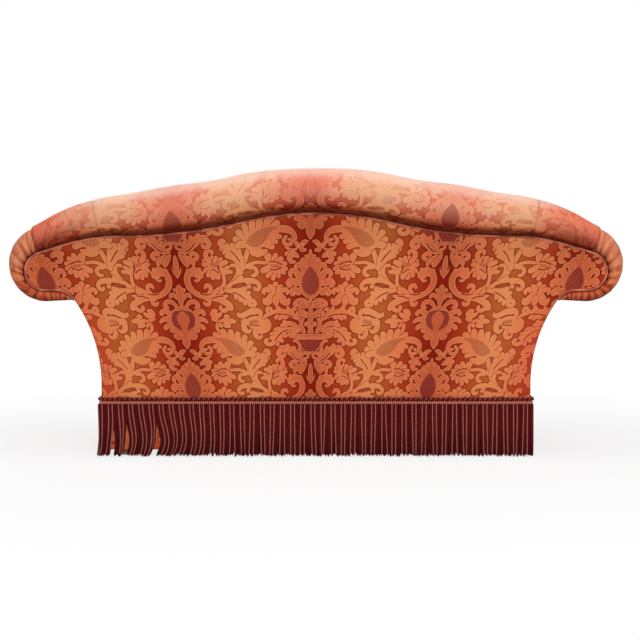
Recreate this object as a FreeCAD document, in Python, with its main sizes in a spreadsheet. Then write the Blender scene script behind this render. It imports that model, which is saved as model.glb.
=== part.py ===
import FreeCAD
import Part
import math
import os
import re
from FreeCAD import Vector

# Camelback loveseat, millimetres. Z is up, the seat faces -Y, X runs from arm to arm.

DRIVING_SIZES = {
    # overall
    "overall_width": 1680,
    "overall_depth": 830,
    "overall_height": 790,
    "fit_gap": 0.3,
    # covers and piping
    "cover_side": 6,
    "cover_back": 8,
    "cover_front": 5,
    "welt_radius": 3.3,
    "band_proud": 8,
    # seat frame and feet
    "foot_height": 48,
    "foot_radius": 30,
    "glide_radius": 14,
    "glide_height": 3,
    "nail_radius": 1.5,
    "nail_length": 12,
    "stud_radius": 4,
    "stud_length": 80,
    "stud_inset": 20,
    "rail_height": 110,
    "rail_thickness": 32,
    "brace_width": 30,
    "brace_height": 64,
    "block_leg": 80,
    "block_height": 70,
    "screw_radius": 2.2,
    "screw_head_radius": 4.5,
    "screw_head_height": 3,
    "screw_length": 40,
    "screw_offset": 48,
    "screw_cover": 18,
    "dowel_radius": 5,
    "dowel_length": 44,
    "dowel_gap": 0.2,
    # arms
    "arm_overhang": 252,
    "arm_drop": 157,
    "arm_base_width": 93,
    "arm_roll_radius": 103,
    "arm_pad": 40,
    "arm_upright_height": 260,
    "arm_flare": 73,
    "flare_start": 200,
    "corner_lift": 4,
    "lobe_radius": 52,
    "lobe_band": 45,
    "lobe_sill": 31,
    "lobe_slope": 17.6,
    "lobe_neck": 60,
    "lobe_shoulder": 50,
    "lining_inset": 2,
    "board_thickness": 25,
    "arm_rail_thickness": 22,
    "tack_rail_height": 40,
    # back
    "hump_rise": 62.7,
    "hump_share": 0.37,
    "shoulder_radius": 529,
    "top_rail_drop": 76,
    "top_rail_rise": 30,
    "post_width": 45,
    "post_inner": 470,
    "roll_crest_radius": 59,
    "roll_shoulder_radius": 64,
    "roll_end_radius": 32,
    "roll_setback": 8,
    "roll_lift": 1,
    "inside_back_depth": 178,
    "inside_back_lean": 118,
    "inside_back_rise": 78,
    # seat
    "webbing_width": 50,
    "webbing_thickness": 2,
    "lining_thickness": 1.5,
    "spring_height": 197,
    "spring_end_radius": 45,
    "spring_waist_radius": 30,
    "spring_wire_radius": 1.9,
    "spring_turns": 5,
    "deck_height": 56,
    "edge_roll_depth": 69,
    "cushion_border": 82,
    "cushion_crown": 27,
    "cushion_corner": 45,
    "cushion_cover_thickness": 12,
    "cushion_clearance": 4,
    # fringe
    "cord_radius": 5,
    "cord_height": 159.5,
    "gimp_height": 8,
    "gimp_thickness": 6,
    "bullion_length": 142,
    "bullion_thickness": 9,
    "bullion_lift": 3,
}

doc = FreeCAD.newDocument("camelback_loveseat")
sheet = doc.addObject("Spreadsheet::Sheet", "Sizes")
for row, (alias, amount) in enumerate(DRIVING_SIZES.items(), start=1):
    sheet.set(f"A{row}", alias)
    sheet.set(f"B{row}", str(amount))
    sheet.setAlias(f"B{row}", alias)
doc.recompute()


def expression(text):
    """Point each driving size named in the text at its cell."""
    return re.sub(r"[a-z]+(_[a-z]+)+", lambda word: f"Sizes.{word.group()}", text)


def number(text):
    """The present value of an expression in the driving sizes."""
    return float(sheet.evalExpression(expression(text)))


def bind(target, **properties):
    """Tie properties of an object to expressions in the driving sizes."""
    for name, text in properties.items():
        target.setExpression(name, expression(str(text)))


# Planes and lines that several pieces share, as expressions
HALF_BASE = "(overall_width / 2 - arm_overhang)"
RAIL_SIDE = f"({HALF_BASE} - cover_side)"
RAIL_INSIDE = f"({RAIL_SIDE} - rail_thickness)"
BACK = "(overall_depth / 2 - roll_setback - roll_shoulder_radius)"
FRAME_BACK = f"({BACK} - cover_back)"
BACK_INSIDE = f"({FRAME_BACK} - rail_thickness)"
FRONT = "(2 * cord_radius + fit_gap - overall_depth / 2)"
FRAME_FRONT = f"({FRONT} + cover_front)"
FRONT_INSIDE = f"({FRAME_FRONT} + rail_thickness)"
MIDDLE = f"(({FRAME_FRONT} + {FRAME_BACK}) / 2)"
BOARD_FRONT = f"({FRAME_FRONT} + board_thickness)"
BOARD_BACK = f"({FRAME_BACK} - board_thickness)"
RAIL_TOP = "(foot_height + rail_height)"
COVER_BOTTOM = "(foot_height - webbing_thickness)"
INNER = f"({HALF_BASE} - arm_base_width)"
ARM_TOP = "(overall_height - arm_drop)"
ARM_UNDER = f"({ARM_TOP} - 2 * arm_roll_radius)"
LOBE_X = "(overall_width / 2 - lobe_band - lobe_radius)"
LOBE_Z = f"({ARM_UNDER} + lobe_sill + lobe_radius)"
CREST = "(overall_height - 2 * roll_crest_radius - welt_radius - fit_gap - roll_lift)"
SHOULDER = f"({CREST} - hump_rise)"
TOP_RAIL_BOTTOM = f"({SHOULDER} - top_rail_drop)"
SPRING_BOTTOM = "(foot_height + fit_gap)"
CANVAS_TOP = f"({SPRING_BOTTOM} + spring_height + fit_gap + lining_thickness)"
PAD_BOTTOM = f"({CANVAS_TOP} + 2)"
DECK_TOP = f"({CANVAS_TOP} + fit_gap + deck_height)"
TACK_BOTTOM = f"({PAD_BOTTOM} - tack_rail_height / 2)"
BACK_LAYERS = "(2 * webbing_thickness + lining_thickness + 2 * fit_gap)"
SEAT_REAR = f"({BACK} - inside_back_depth)"
CUSHION_BOTTOM = f"({DECK_TOP} + fit_gap)"
WELT_EDGE = "(welt_radius + fit_gap)"
ROLL_EDGE = f"({WELT_EDGE} + roll_lift)"

NODES = []


def node(piece, label):
    """Name a finished piece and keep it for export."""
    piece.Label = label
    NODES.append(piece)
    return piece


# Outlines: a segment is a line of two points or an arc of three, and a path is a list of segments


def at(x, z):
    return Vector(x, z, 0)


def on_circle(centre, radius, degrees):
    turn = math.radians(degrees)
    return at(centre.x + radius * math.cos(turn), centre.y + radius * math.sin(turn))


def arc(centre, radius, start, end):
    return tuple(on_circle(centre, radius, angle) for angle in (start, (start + end) / 2, end))


def lines(*points):
    return list(zip(points[:-1], points[1:]))


def backward(path):
    return [tuple(reversed(segment)) for segment in reversed(path)]


def mirrored_path(path):
    return [tuple(at(-point.x, point.y) for point in segment) for segment in backward(path)]


def closed(path):
    return path + lines(path[-1][-1], path[0][0])


def geometry(path):
    return [Part.LineSegment(*part) if len(part) == 2 else Part.Arc(*part) for part in path]


def upright_wire(path, y):
    """The path as a wire standing in the plane of the outside back, at depth y."""
    stand = FreeCAD.Placement(Vector(0, y, 0), FreeCAD.Rotation(Vector(1, 0, 0), 90))
    edges = [curve.toShape() for curve in geometry(path)]
    wire = Part.Wire(edges)
    wire.Placement = stand
    return wire


class Welt:
    """The line of the piping on the outside back: hump, shoulder, slope, round lobe and neck."""

    lobe = at(number(LOBE_X), number(LOBE_Z))
    lobe_radius = number("lobe_radius")
    slope = number("lobe_slope")
    crest = number(CREST)
    shoulder_height = number(SHOULDER)
    shoulder_radius = number("shoulder_radius")
    neck_radius = number("lobe_neck")

    tangent = on_circle(lobe, lobe_radius, 90 - slope)
    reach = (shoulder_height - tangent.y) / math.tan(math.radians(slope))
    shoulder_x = tangent.x - reach - shoulder_radius * math.tan(math.radians(slope / 2))
    shoulder_centre = at(shoulder_x, shoulder_height - shoulder_radius)

    lean = 2 * math.degrees(math.atan2(crest - shoulder_height, shoulder_x))
    both_radii = shoulder_x / math.sin(math.radians(lean))
    hump_radius = both_radii * number("hump_share")
    dip_radius = both_radii - hump_radius
    hump_centre = at(0, crest - hump_radius)
    dip_centre = at(shoulder_x, shoulder_height + dip_radius)

    sill = lobe.y - lobe_radius
    corner = at(number(f"{HALF_BASE} + arm_flare"), number(f"{ARM_UNDER} + corner_lift"))
    fall = sill - corner.y
    run = math.sqrt(2 * fall * neck_radius - fall ** 2)
    neck_centre = at(corner.x + run, sill - neck_radius)
    neck_turn = math.degrees(math.asin(run / neck_radius))

    @classmethod
    def top(cls, out):
        """Hump and dip, from the middle of the back to the shoulder."""
        return [
            arc(cls.hump_centre, cls.hump_radius + out, 90, 90 - cls.lean),
            arc(cls.dip_centre, cls.dip_radius - out, 270 - cls.lean, 270),
        ]

    @classmethod
    def around_lobe(cls, out):
        """Lobe, sill and neck, from the slope down to the corner under the arm."""
        round_end = arc(cls.lobe, cls.lobe_radius + out, 90 - cls.slope, -90)
        neck = arc(cls.neck_centre, cls.neck_radius - out, 90, 90 + cls.neck_turn)
        return [round_end, (round_end[-1], neck[0]), neck]

    @classmethod
    def half(cls, out):
        shoulder = arc(cls.shoulder_centre, cls.shoulder_radius + out, 90, 90 - cls.slope)
        lobe = cls.around_lobe(out)
        return cls.top(out) + [shoulder, (shoulder[-1], lobe[0][0])] + lobe


class Arm:
    """The section of the right arm: upright, convex inner face, roll and hollow outer side."""

    inner = number(INNER)
    half_base = number(HALF_BASE)
    roll_radius = number("arm_roll_radius")
    roll = at(number("overall_width / 2") - roll_radius, number(ARM_TOP) - roll_radius)
    upright = number("arm_upright_height")
    pad = number("arm_pad")

    run = roll.x - inner
    rise = roll.y - upright
    face_radius = (run ** 2 + rise ** 2 - roll_radius ** 2) / (2 * (run - roll_radius))
    face_centre = at(inner + face_radius, upright)
    crest_angle = math.degrees(math.atan2(roll.y - face_centre.y, roll.x - face_centre.x))

    flare_start = number("flare_start")
    flare_rise = Welt.corner.y - flare_start
    flare_run = number("arm_flare")
    flare_radius = (flare_rise ** 2 + flare_run ** 2) / (2 * flare_run)
    flare_centre = at(half_base + flare_radius, flare_start)

    bend = number("lobe_shoulder")

    @classmethod
    def bend_centre(cls):
        """Centre of the turn from the inner face to the slope of the lobe."""
        slope = math.radians(Welt.slope)
        along = Vector(-math.cos(slope), math.sin(slope), 0)
        start = on_circle(Welt.lobe, Welt.lobe_radius - cls.bend, 90 - Welt.slope)
        radius = cls.face_radius - cls.pad - cls.bend
        offset = start - cls.face_centre
        half = along.dot(offset)
        step = math.sqrt(half ** 2 - offset.dot(offset) + radius ** 2) - half
        return start + along * step

    @classmethod
    def scroll(cls, out, bottom):
        """Edge of the boards, from the seat over the top and round the lobe to the corner."""
        centre = cls.bend_centre()
        radius = cls.face_radius - cls.pad + out
        turn = math.degrees(math.atan2(centre.y - cls.upright, centre.x - cls.face_centre.x))
        face = arc(cls.face_centre, radius, 180, turn)
        bend = arc(centre, cls.bend + out, turn, 90 - Welt.slope)
        lobe = Welt.around_lobe(out)
        foot = at(face[0].x, bottom)
        return [(foot, face[0]), face, bend, (bend[-1], lobe[0][0])] + lobe

    @classmethod
    def hollow(cls, inset, bottom):
        """Outer side, from the corner under the roll down to the base."""
        radius = cls.flare_radius + inset
        top = 180 - math.degrees(math.asin(cls.flare_rise / radius))
        side = arc(cls.flare_centre, radius, top, 180)
        return [side, (side[-1], at(side[-1].x, bottom))]

    @classmethod
    def board(cls, out, inset, bottom):
        """Closed outline of a board or a facing."""
        scroll = cls.scroll(out, bottom)
        hollow = cls.hollow(inset, bottom)
        return closed(scroll + [(scroll[-1][-1], hollow[0][0])] + hollow)

    @classmethod
    def outer_face(cls, out, bottom):
        """Cover of the arm, from the seat over the crest to the tip of the roll."""
        face = arc(cls.face_centre, cls.face_radius + out, 180, cls.crest_angle)
        crest = arc(cls.roll, cls.roll_radius + out, cls.crest_angle, 0)
        return [(at(face[0].x, bottom), face[0]), face, crest]


# Ways of making a piece


def box(name, x, y, z, length, width, height):
    piece = doc.addObject("Part::Box", name)
    bind(piece, Length=length, Width=width, Height=height)
    bind(piece, **{"Placement.Base.x": x, "Placement.Base.y": y, "Placement.Base.z": z})
    return piece


AXES = {
    "x": FreeCAD.Rotation(Vector(0, 1, 0), 90),
    "y": FreeCAD.Rotation(Vector(1, 0, 0), -90),
    "z": FreeCAD.Rotation(),
}


def cylinder(name, axis, x, y, z, radius, height):
    piece = doc.addObject("Part::Cylinder", name)
    bind(piece, Radius=radius, Height=height)
    piece.Placement.Rotation = AXES[axis]
    bind(piece, **{"Placement.Base.x": x, "Placement.Base.y": y, "Placement.Base.z": z})
    return piece


def extruded(name, path, start, length, plane="XZ_Plane"):
    """Pad an outline: along +Y from an XZ outline, or along +X from a YZ outline."""
    body = doc.addObject("PartDesign::Body", name)
    sketch = body.newObject("Sketcher::SketchObject", name + "_outline")
    support = [face for face in body.Origin.OriginFeatures if face.Role == plane]
    sketch.AttachmentSupport = (support[0], [""])
    sketch.MapMode = "FlatFace"
    sketch.addGeometry(geometry(path))
    along_y = plane == "XZ_Plane"
    sketch.setExpression("AttachmentOffset.Base.z", expression(f"-({start})" if along_y else start))
    pad = body.newObject("PartDesign::Pad", name + "_pad")
    pad.Profile = sketch
    pad.Reversed = along_y
    bind(pad, Length=length)
    return body


def cut(name, base, tools):
    """Take the tools away from the base."""
    tool = tools[0]
    if len(tools) > 1:
        tool = doc.addObject("Part::MultiFuse", name + "_tools")
        tool.Shapes = tools
    piece = doc.addObject("Part::Cut", name)
    piece.Base = base
    piece.Tool = tool
    return piece


def compound(name, pieces):
    group = doc.addObject("Part::Compound", name)
    group.Links = pieces
    return group


def mirrored(name, piece, front_to_back=False):
    """A copy on the other side: across the middle plane, or from the front to the back."""
    copy = doc.addObject("Part::Mirroring", name)
    copy.Source = piece
    copy.Normal = (0, 1, 0) if front_to_back else (1, 0, 0)
    if front_to_back:
        bind(copy, **{"Base.y": MIDDLE})
    return copy


def four_corners(name, piece):
    """The piece at the front right corner and its three copies."""
    left = mirrored(name + "_front_left", piece)
    right_rear = mirrored(name + "_back_right", piece, front_to_back=True)
    return [piece, left, right_rear, mirrored(name + "_back_left", right_rear)]


def fixed(name, shape):
    piece = doc.addObject("Part::Feature", name)
    piece.Shape = shape
    return piece


def tube(path_wire, radius):
    """A round cord along a wire."""
    first = path_wire.OrderedEdges[0]
    start = first.FirstParameter
    section = Part.Circle(first.valueAt(start), first.tangentAt(start), radius)
    return path_wire.makePipeShell([Part.Wire(section.toShape())], True, False)


# Dowels and screws: each is a piece, and a slightly larger tool bores its holes

DOWELS = []
HOLES = {}


def bore(pieces, tools):
    for piece in pieces:
        HOLES.setdefault(piece, []).extend(tools)


def dowel(pieces, axis, x, y, z, both_sides=True):
    """A dowel centred on a joint, and its hole in the pieces it joins."""
    name = f"dowel_{len(DOWELS)}"
    centre = {"x": x, "y": y, "z": z}

    def pin(suffix, radius, length):
        start = dict(centre)
        start[axis] = f"{centre[axis]} - ({length}) / 2"
        return cylinder(name + suffix, axis, start["x"], start["y"], start["z"], radius, length)

    DOWELS.append(pin("", "dowel_radius", "dowel_length"))
    hole = pin("_hole", "dowel_radius + dowel_gap", "dowel_length + 2 * dowel_gap")
    bore(pieces, [hole])
    if both_sides:
        DOWELS.append(mirrored(name + "_left", DOWELS[-1]))
        bore(pieces, [mirrored(name + "_left_hole", hole)])


def bored(name, blank):
    """A piece with its holes, as a finished node."""
    return node(cut(name, blank, HOLES[name]), name)


def bored_pair(name, blank):
    """The right piece with its holes, and the left piece as its mirror."""
    right = bored("right_" + name, blank)
    node(mirrored("left_" + name, right), "left_" + name)


# Seat frame


def plan_seat_dowels():
    for share in (0.3, 0.7):
        height = f"foot_height + rail_height * {share}"
        middle = f"{RAIL_SIDE} - rail_thickness / 2"
        dowel(("front_seat_rail", "right_seat_rail"), "y", middle, FRONT_INSIDE, height)
        dowel(("back_seat_rail", "right_seat_rail"), "y", middle, BACK_INSIDE, height)
        brace = f"foot_height + 22 + brace_height * {share}"
        dowel(("front_seat_rail", "seat_brace"), "y", "0", FRONT_INSIDE, brace, both_sides=False)
        dowel(("back_seat_rail", "seat_brace"), "y", "0", BACK_INSIDE, brace, both_sides=False)


def corner_screw(name, axis, turned):
    """A screw through the corner block, and its hole and head seat."""
    near = {"x": f"{RAIL_INSIDE} - screw_cover", "y": f"{FRONT_INSIDE} + screw_offset"}
    far = {"x": f"{RAIL_INSIDE} - screw_offset", "y": f"{FRONT_INSIDE} + screw_cover"}
    spot = far if turned else near
    height = f"foot_height + block_height * {0.64 if turned else 0.36}"
    sign = "-1" if turned else "1"

    def pin(suffix, radius, length, back):
        start = dict(spot)
        reach = length if turned else "0"
        start[axis] = f"{spot[axis]} - {sign} * ({back}) - ({reach})"
        return cylinder(name + suffix, axis, start["x"], start["y"], height, radius, length)

    shank = pin("_shank", "screw_radius", "screw_length", "0")
    head = pin("_head", "screw_head_radius", "screw_head_height", "screw_head_height")
    screw = doc.addObject("Part::Fuse", name)
    screw.Base = shank
    screw.Tool = head
    hole = pin("_hole", "screw_radius + dowel_gap", "screw_length + dowel_gap", "0")
    seat = pin("_seat", "screw_head_radius + dowel_gap", "block_leg", "block_leg")
    return screw, hole, seat


def make_corner_blocks():
    blank = doc.addObject("Part::Wedge", "corner_block_blank")
    bind(blank, **{"Placement.Base.x": RAIL_INSIDE, "Placement.Base.y": FRONT_INSIDE,
                   "Placement.Base.z": "foot_height"})
    bind(blank, Xmin="-block_leg", Xmax="0", X2min="0", X2max="0", Ymin="0", Ymax="block_leg")
    bind(blank, Zmin="0", Zmax="block_height", Z2min="0", Z2max="block_height")
    along_x, hole_x, seat_x = corner_screw("screw_x", "x", turned=False)
    along_y, hole_y, seat_y = corner_screw("screw_y", "y", turned=True)
    stud_x, stud_y = f"{RAIL_INSIDE} - stud_inset", f"{FRONT_INSIDE} + stud_inset"
    stud_start = "foot_height - 30"
    stud = cylinder("stud", "z", stud_x, stud_y, stud_start, "stud_radius", "stud_length")
    socket = cylinder("stud_hole", "z", stud_x, stud_y, f"{stud_start} - dowel_gap",
                      "stud_radius + dowel_gap", "stud_length + 2 * dowel_gap")
    block = cut("corner_block", blank, [hole_x, seat_x, hole_y, seat_y, socket])
    node(compound("corner_blocks", four_corners("corner_block", block)), "corner_blocks")
    screws = four_corners("screw_x", along_x) + four_corners("screw_y", along_y)
    node(compound("corner_block_screws", screws), "corner_block_screws")
    node(compound("foot_studs", four_corners("stud", stud)), "foot_studs")
    side_holes = four_corners("screw_x_hole", hole_x)
    bore(["right_seat_rail"], [side_holes[0], side_holes[2]])
    end_holes = four_corners("screw_y_hole", hole_y)
    bore(["front_seat_rail"], end_holes[:2])
    bore(["back_seat_rail"], end_holes[2:])


def make_seat_rails():
    long_rail = (f"2 * {RAIL_SIDE}", "rail_thickness", "rail_height")
    front = box("front_rail_blank", f"-{RAIL_SIDE}", FRAME_FRONT, "foot_height", *long_rail)
    back = box("back_rail_blank", f"-{RAIL_SIDE}", BACK_INSIDE, "foot_height", *long_rail)
    side = box("side_rail_blank", RAIL_INSIDE, FRONT_INSIDE, "foot_height",
               "rail_thickness", f"{BACK_INSIDE} - {FRONT_INSIDE}", "rail_height")
    brace = box("brace_blank", "-brace_width / 2", FRONT_INSIDE, "foot_height + 22",
                "brace_width", f"{BACK_INSIDE} - {FRONT_INSIDE}", "brace_height")
    bored("front_seat_rail", front)
    bored("back_seat_rail", back)
    bored_pair("seat_rail", side)
    bored("seat_brace", brace)


def make_feet():
    """Turned bun feet, each with a glide nailed under it."""
    low, high = number("glide_height"), number("foot_height")
    wide = number("foot_radius")
    stud = number("stud_radius + dowel_gap")
    nail = number("nail_radius + dowel_gap")
    nail_top = low + number("nail_length + dowel_gap")
    neck_height = low + 0.78 * (high - low)
    belly = (at(0.55 * wide, low), at(wide, low + 0.4 * (high - low)), at(0.68 * wide, neck_height))
    profile = lines(at(nail, nail_top), at(nail, low), belly[0]) + [belly]
    profile += lines(belly[-1], at(0.84 * wide, neck_height + 2), at(0.84 * wide, high), at(stud, high),
                     at(stud, high - 30.2), at(0, high - 30.2), at(0, nail_top), at(nail, nail_top))
    body = doc.addObject("PartDesign::Body", "foot_turning")
    sketch = body.newObject("Sketcher::SketchObject", "foot_profile")
    support = [face for face in body.Origin.OriginFeatures if face.Role == "XZ_Plane"]
    sketch.AttachmentSupport = (support[0], [""])
    sketch.MapMode = "FlatFace"
    sketch.addGeometry(geometry(profile))
    turning = body.newObject("PartDesign::Revolution", "foot_turned")
    turning.Profile = sketch
    turning.ReferenceAxis = (sketch, ["V_Axis"])
    turning.Angle = 360
    bind(body, **{"Placement.Base.x": f"{RAIL_INSIDE} - stud_inset",
                  "Placement.Base.y": f"{FRONT_INSIDE} + stud_inset"})
    names = ("front_right_foot", "front_left_foot", "back_right_foot", "back_left_foot")
    for piece, label in zip(four_corners("foot", body), names):
        node(piece, label)
    spot = (f"{RAIL_INSIDE} - stud_inset", f"{FRONT_INSIDE} + stud_inset")
    disc = cylinder("glide_disc", "z", *spot, "0", "glide_radius", "glide_height")
    stem = cylinder("glide_nail", "z", *spot, "glide_height", "nail_radius", "nail_length")
    glide = doc.addObject("Part::Fuse", "glide")
    glide.Base = disc
    glide.Tool = stem
    node(compound("foot_glides", four_corners("glide", glide)), "foot_glides")


# Back frame


def plan_back_dowels():
    middle = f"{FRAME_BACK} - rail_thickness / 2"
    for share in (0.3, 0.7):
        across = f"post_inner + post_width * {share}"
        dowel(("back_seat_rail", "right_back_post"), "z", across, middle, RAIL_TOP)
        dowel(("back_top_rail", "right_back_post"), "z", across, middle, TOP_RAIL_BOTTOM)
        dowel(("back_tack_rail", "right_back_post"), "x", "post_inner", middle,
              f"{TACK_BOTTOM} + tack_rail_height * {share}")
    dowel(("back_tack_rail", "back_center_post"), "z", "0", middle,
          f"{TACK_BOTTOM} + tack_rail_height", both_sides=False)
    dowel(("back_top_rail", "back_center_post"), "z", "0", middle, TOP_RAIL_BOTTOM, both_sides=False)


def top_rail_outline(out):
    right = Welt.top(out)
    end = right[-1][-1]
    bottom = number(TOP_RAIL_BOTTOM)
    sides = lines(end, at(end.x, bottom), at(-end.x, bottom), at(-end.x, end.y))
    return mirrored_path(right) + right + sides


def make_back_frame():
    post = box("back_post_blank", "post_inner", BACK_INSIDE, RAIL_TOP,
               "post_width", "rail_thickness", f"{TOP_RAIL_BOTTOM} - {RAIL_TOP}")
    tack = box("back_tack_blank", "-post_inner", BACK_INSIDE, TACK_BOTTOM,
               "2 * post_inner", "rail_thickness", "tack_rail_height")
    centre = box("center_post_blank", "-post_width / 2", BACK_INSIDE, f"{TACK_BOTTOM} + tack_rail_height",
                 "post_width", "rail_thickness",
                 f"{TOP_RAIL_BOTTOM} - {TACK_BOTTOM} - tack_rail_height")
    outline = top_rail_outline(number("top_rail_rise"))
    top = extruded("top_rail_blank", outline, BACK_INSIDE, "rail_thickness")
    bored_pair("back_post", post)
    bored("back_tack_rail", tack)
    bored("back_center_post", centre)
    bored("back_top_rail", top)


# Arm frames

ARM_RAILS = {
    "arm_top_rail": (f"{LOBE_X} - 1.05 * lobe_radius", f"{LOBE_Z} + 0.4 * lobe_radius",
                     "0.85 * lobe_radius", "0.5 * lobe_radius"),
    "arm_scroll_rail": (f"{LOBE_X} + 0.1 * lobe_radius", f"{LOBE_Z} - 0.66 * lobe_radius",
                        "0.45 * lobe_radius", "0.9 * lobe_radius"),
    "arm_tack_rail": (f"{INNER} + arm_pad + 6", TACK_BOTTOM, "arm_rail_thickness", "tack_rail_height"),
}


def plan_arm_dowels():
    for name, (x, z, width, height) in ARM_RAILS.items():
        spot = (f"{x} + ({width}) / 2", f"{z} + ({height}) / 2")
        for board, joint in (("right_arm_front_board", BOARD_FRONT), ("right_arm_back_board", BOARD_BACK)):
            dowel((board, "right_" + name), "y", spot[0], joint, spot[1])
    foot = f"{INNER} + arm_pad + 24"
    for board, seat_rail, edge in (("right_arm_front_board", "front_seat_rail", FRAME_FRONT),
                                   ("right_arm_back_board", "back_seat_rail", BOARD_BACK)):
        dowel((board, seat_rail), "z", foot, f"{edge} + board_thickness / 2", RAIL_TOP)


def make_arm_frames():
    inset = number("lining_inset + lining_thickness + fit_gap")
    outline = Arm.board(-inset, number("cover_side"), number(RAIL_TOP))
    front = extruded("arm_front_blank", outline, FRAME_FRONT, "board_thickness")
    back = extruded("arm_back_blank", outline, BOARD_BACK, "board_thickness")
    bored_pair("arm_front_board", front)
    bored_pair("arm_back_board", back)
    for name, (x, z, width, height) in ARM_RAILS.items():
        blank = box(name + "_blank", x, BOARD_FRONT, z, width, f"{BOARD_BACK} - {BOARD_FRONT}", height)
        bored_pair(name, blank)


def node_pair(name, right):
    node(right, "right_" + name)
    node(mirrored("left_" + name, right), "left_" + name)


def make_arm_lining():
    bottom = number(PAD_BOTTOM)
    strip = Arm.scroll(-number("lining_inset"), bottom)
    under = backward(Arm.scroll(-number("lining_inset + lining_thickness"), bottom))
    outline = closed(strip + lines(strip[-1][-1], under[0][0]) + under)
    length = f"{FRAME_BACK} - {FRAME_FRONT}"
    node_pair("arm_lining", extruded("right_arm_lining", outline, FRAME_FRONT, length))


# Soft forms


def roll_sections(clearance):
    """Round sections of the back roll, square to the piping line, from left to right."""
    crest, shoulder = number("roll_crest_radius"), number("roll_shoulder_radius")
    end = number("roll_end_radius")
    hump, dip = Welt.top(0)
    stations = [(hump[0], 0, crest)]
    stations.append((hump[2], Welt.lean, (crest + shoulder) / 2))
    stations.append((dip[1], Welt.lean / 2, shoulder))
    for share, turn in ((0.72, 0), (0.5, Welt.slope / 2), (0.25, Welt.slope)):
        spot = on_circle(Welt.shoulder_centre, Welt.shoulder_radius, 90 - turn)
        stations.append((spot, turn, end + share * (shoulder - end)))
    stations.append((Welt.tangent, Welt.slope, end))
    depth = number(f"{BACK} + roll_setback")
    sections = []
    for side, line in ((-1, reversed(stations[1:])), (1, stations)):
        for spot, turn, radius in line:
            up = Vector(side * math.sin(math.radians(turn)), 0, math.cos(math.radians(turn)))
            centre = Vector(side * spot.x, depth, spot.y) + up * (radius + number(ROLL_EDGE))
            sections.append(round_section(centre, up, radius + clearance))
    return sections


def round_section(centre, up, radius):
    def rim(degrees):
        turn = math.radians(degrees)
        return centre + (up * math.cos(turn) + Vector(0, 1, 0) * math.sin(turn)) * radius

    quarters = [Part.Arc(rim(start), rim(start + 45), rim(start + 90)) for start in (0, 90, 180, 270)]
    return Part.Wire([quarter.toShape() for quarter in quarters])


def make_back_roll():
    """Stuffed roll with a groove for the top rail. Returns the space it takes from its neighbours."""
    roll = fixed("back_roll_form", Part.makeLoft(roll_sections(0), True))
    outline = top_rail_outline(number("top_rail_rise + fit_gap"))
    groove = extruded("top_rail_groove", outline, f"{BACK_INSIDE} - fit_gap", "rail_thickness + 2 * fit_gap")
    node(cut("back_roll", roll, [groove]), "back_roll")
    return fixed("back_roll_space", Part.makeLoft(roll_sections(number("fit_gap")), True))


def make_arm_pads(roll_space):
    """Stuffing over each arm, with pockets for the facing and the outside back at its ends."""
    bottom = number(PAD_BOTTOM)
    edge = number(WELT_EDGE)
    under = backward(Arm.scroll(number("fit_gap - lining_inset"), bottom))
    roll_bottom = at(Arm.roll.x, Arm.roll.y - Arm.roll_radius)
    rim = arc(Arm.roll, Arm.roll_radius, 0, -90)
    outline = Arm.outer_face(0, bottom) + [rim] + lines(roll_bottom, Welt.corner, under[0][0]) + under
    length = f"{BACK} - {FRONT} + 2 * band_proud"
    form = extruded("arm_pad_form", closed(outline), f"{FRONT} - band_proud", length)
    pocket = Arm.board(edge, 0, number(COVER_BOTTOM))
    past = "cover_front + 2 * band_proud"
    front = extruded("arm_front_pocket", pocket, f"{FRONT} - 2 * band_proud", past)
    half = Welt.half(edge)
    below = lines(half[-1][-1], at(Arm.half_base, bottom - 1), at(0, bottom - 1), half[0][0])
    back = extruded("arm_back_pocket", half + below, FRAME_BACK, "cover_back + 2 * band_proud")
    notch = box("back_frame_space", "0", f"{BACK_INSIDE} - {BACK_LAYERS}", "0",
                "post_inner + 2 * post_width", "200", TOP_RAIL_BOTTOM)
    node_pair("arm_pad", cut("right_arm_pad", form, [front, back, notch, roll_space]))


def make_inside_back(roll_space):
    """Crowned pad between the arms, under the back roll."""
    rear = number(f"{BACK_INSIDE} - {BACK_LAYERS}")
    seat, bottom, top = number(SEAT_REAR), number(PAD_BOTTOM), number("overall_height")
    lean = number("inside_back_lean")
    crown = (at(seat + 4, bottom), at(seat + 22, 0.45 * bottom + 0.55 * top), at(seat + lean, top))
    profile = [crown] + lines(crown[-1], at(rear, top), at(rear, bottom), crown[0])
    width = f"2 * ({INNER} + arm_overhang)"
    side = extruded("inside_back_side", profile, f"-({width}) / 2", width, plane="YZ_Plane")
    right = Welt.top(number("inside_back_rise"))
    end_radius = Welt.shoulder_radius + number("roll_end_radius")
    end = on_circle(Welt.shoulder_centre, end_radius, 90 - Welt.slope)
    right += lines(right[-1][-1], end)
    low = lines(end, at(end.x, bottom - 1), at(-end.x, bottom - 1), at(-end.x, end.y))
    outline = mirrored_path(right) + right + low
    face = extruded("inside_back_face", outline, "-overall_depth", "2 * overall_depth")
    form = doc.addObject("Part::Common", "inside_back_form")
    form.Base = side
    form.Tool = face
    arm = Arm.outer_face(number("fit_gap"), 0)
    far = 2 * arm[-1][-1].x
    arm += lines(arm[-1][-1], at(far, arm[-1][-1].y), at(far, 0), arm[0][0])
    right_arm = extruded("arm_space", arm, "-overall_depth", "2 * overall_depth")
    left_arm = mirrored("arm_space_left", right_arm)
    node(cut("inside_back_pad", form, [roll_space, right_arm, left_arm]), "inside_back_pad")


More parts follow.
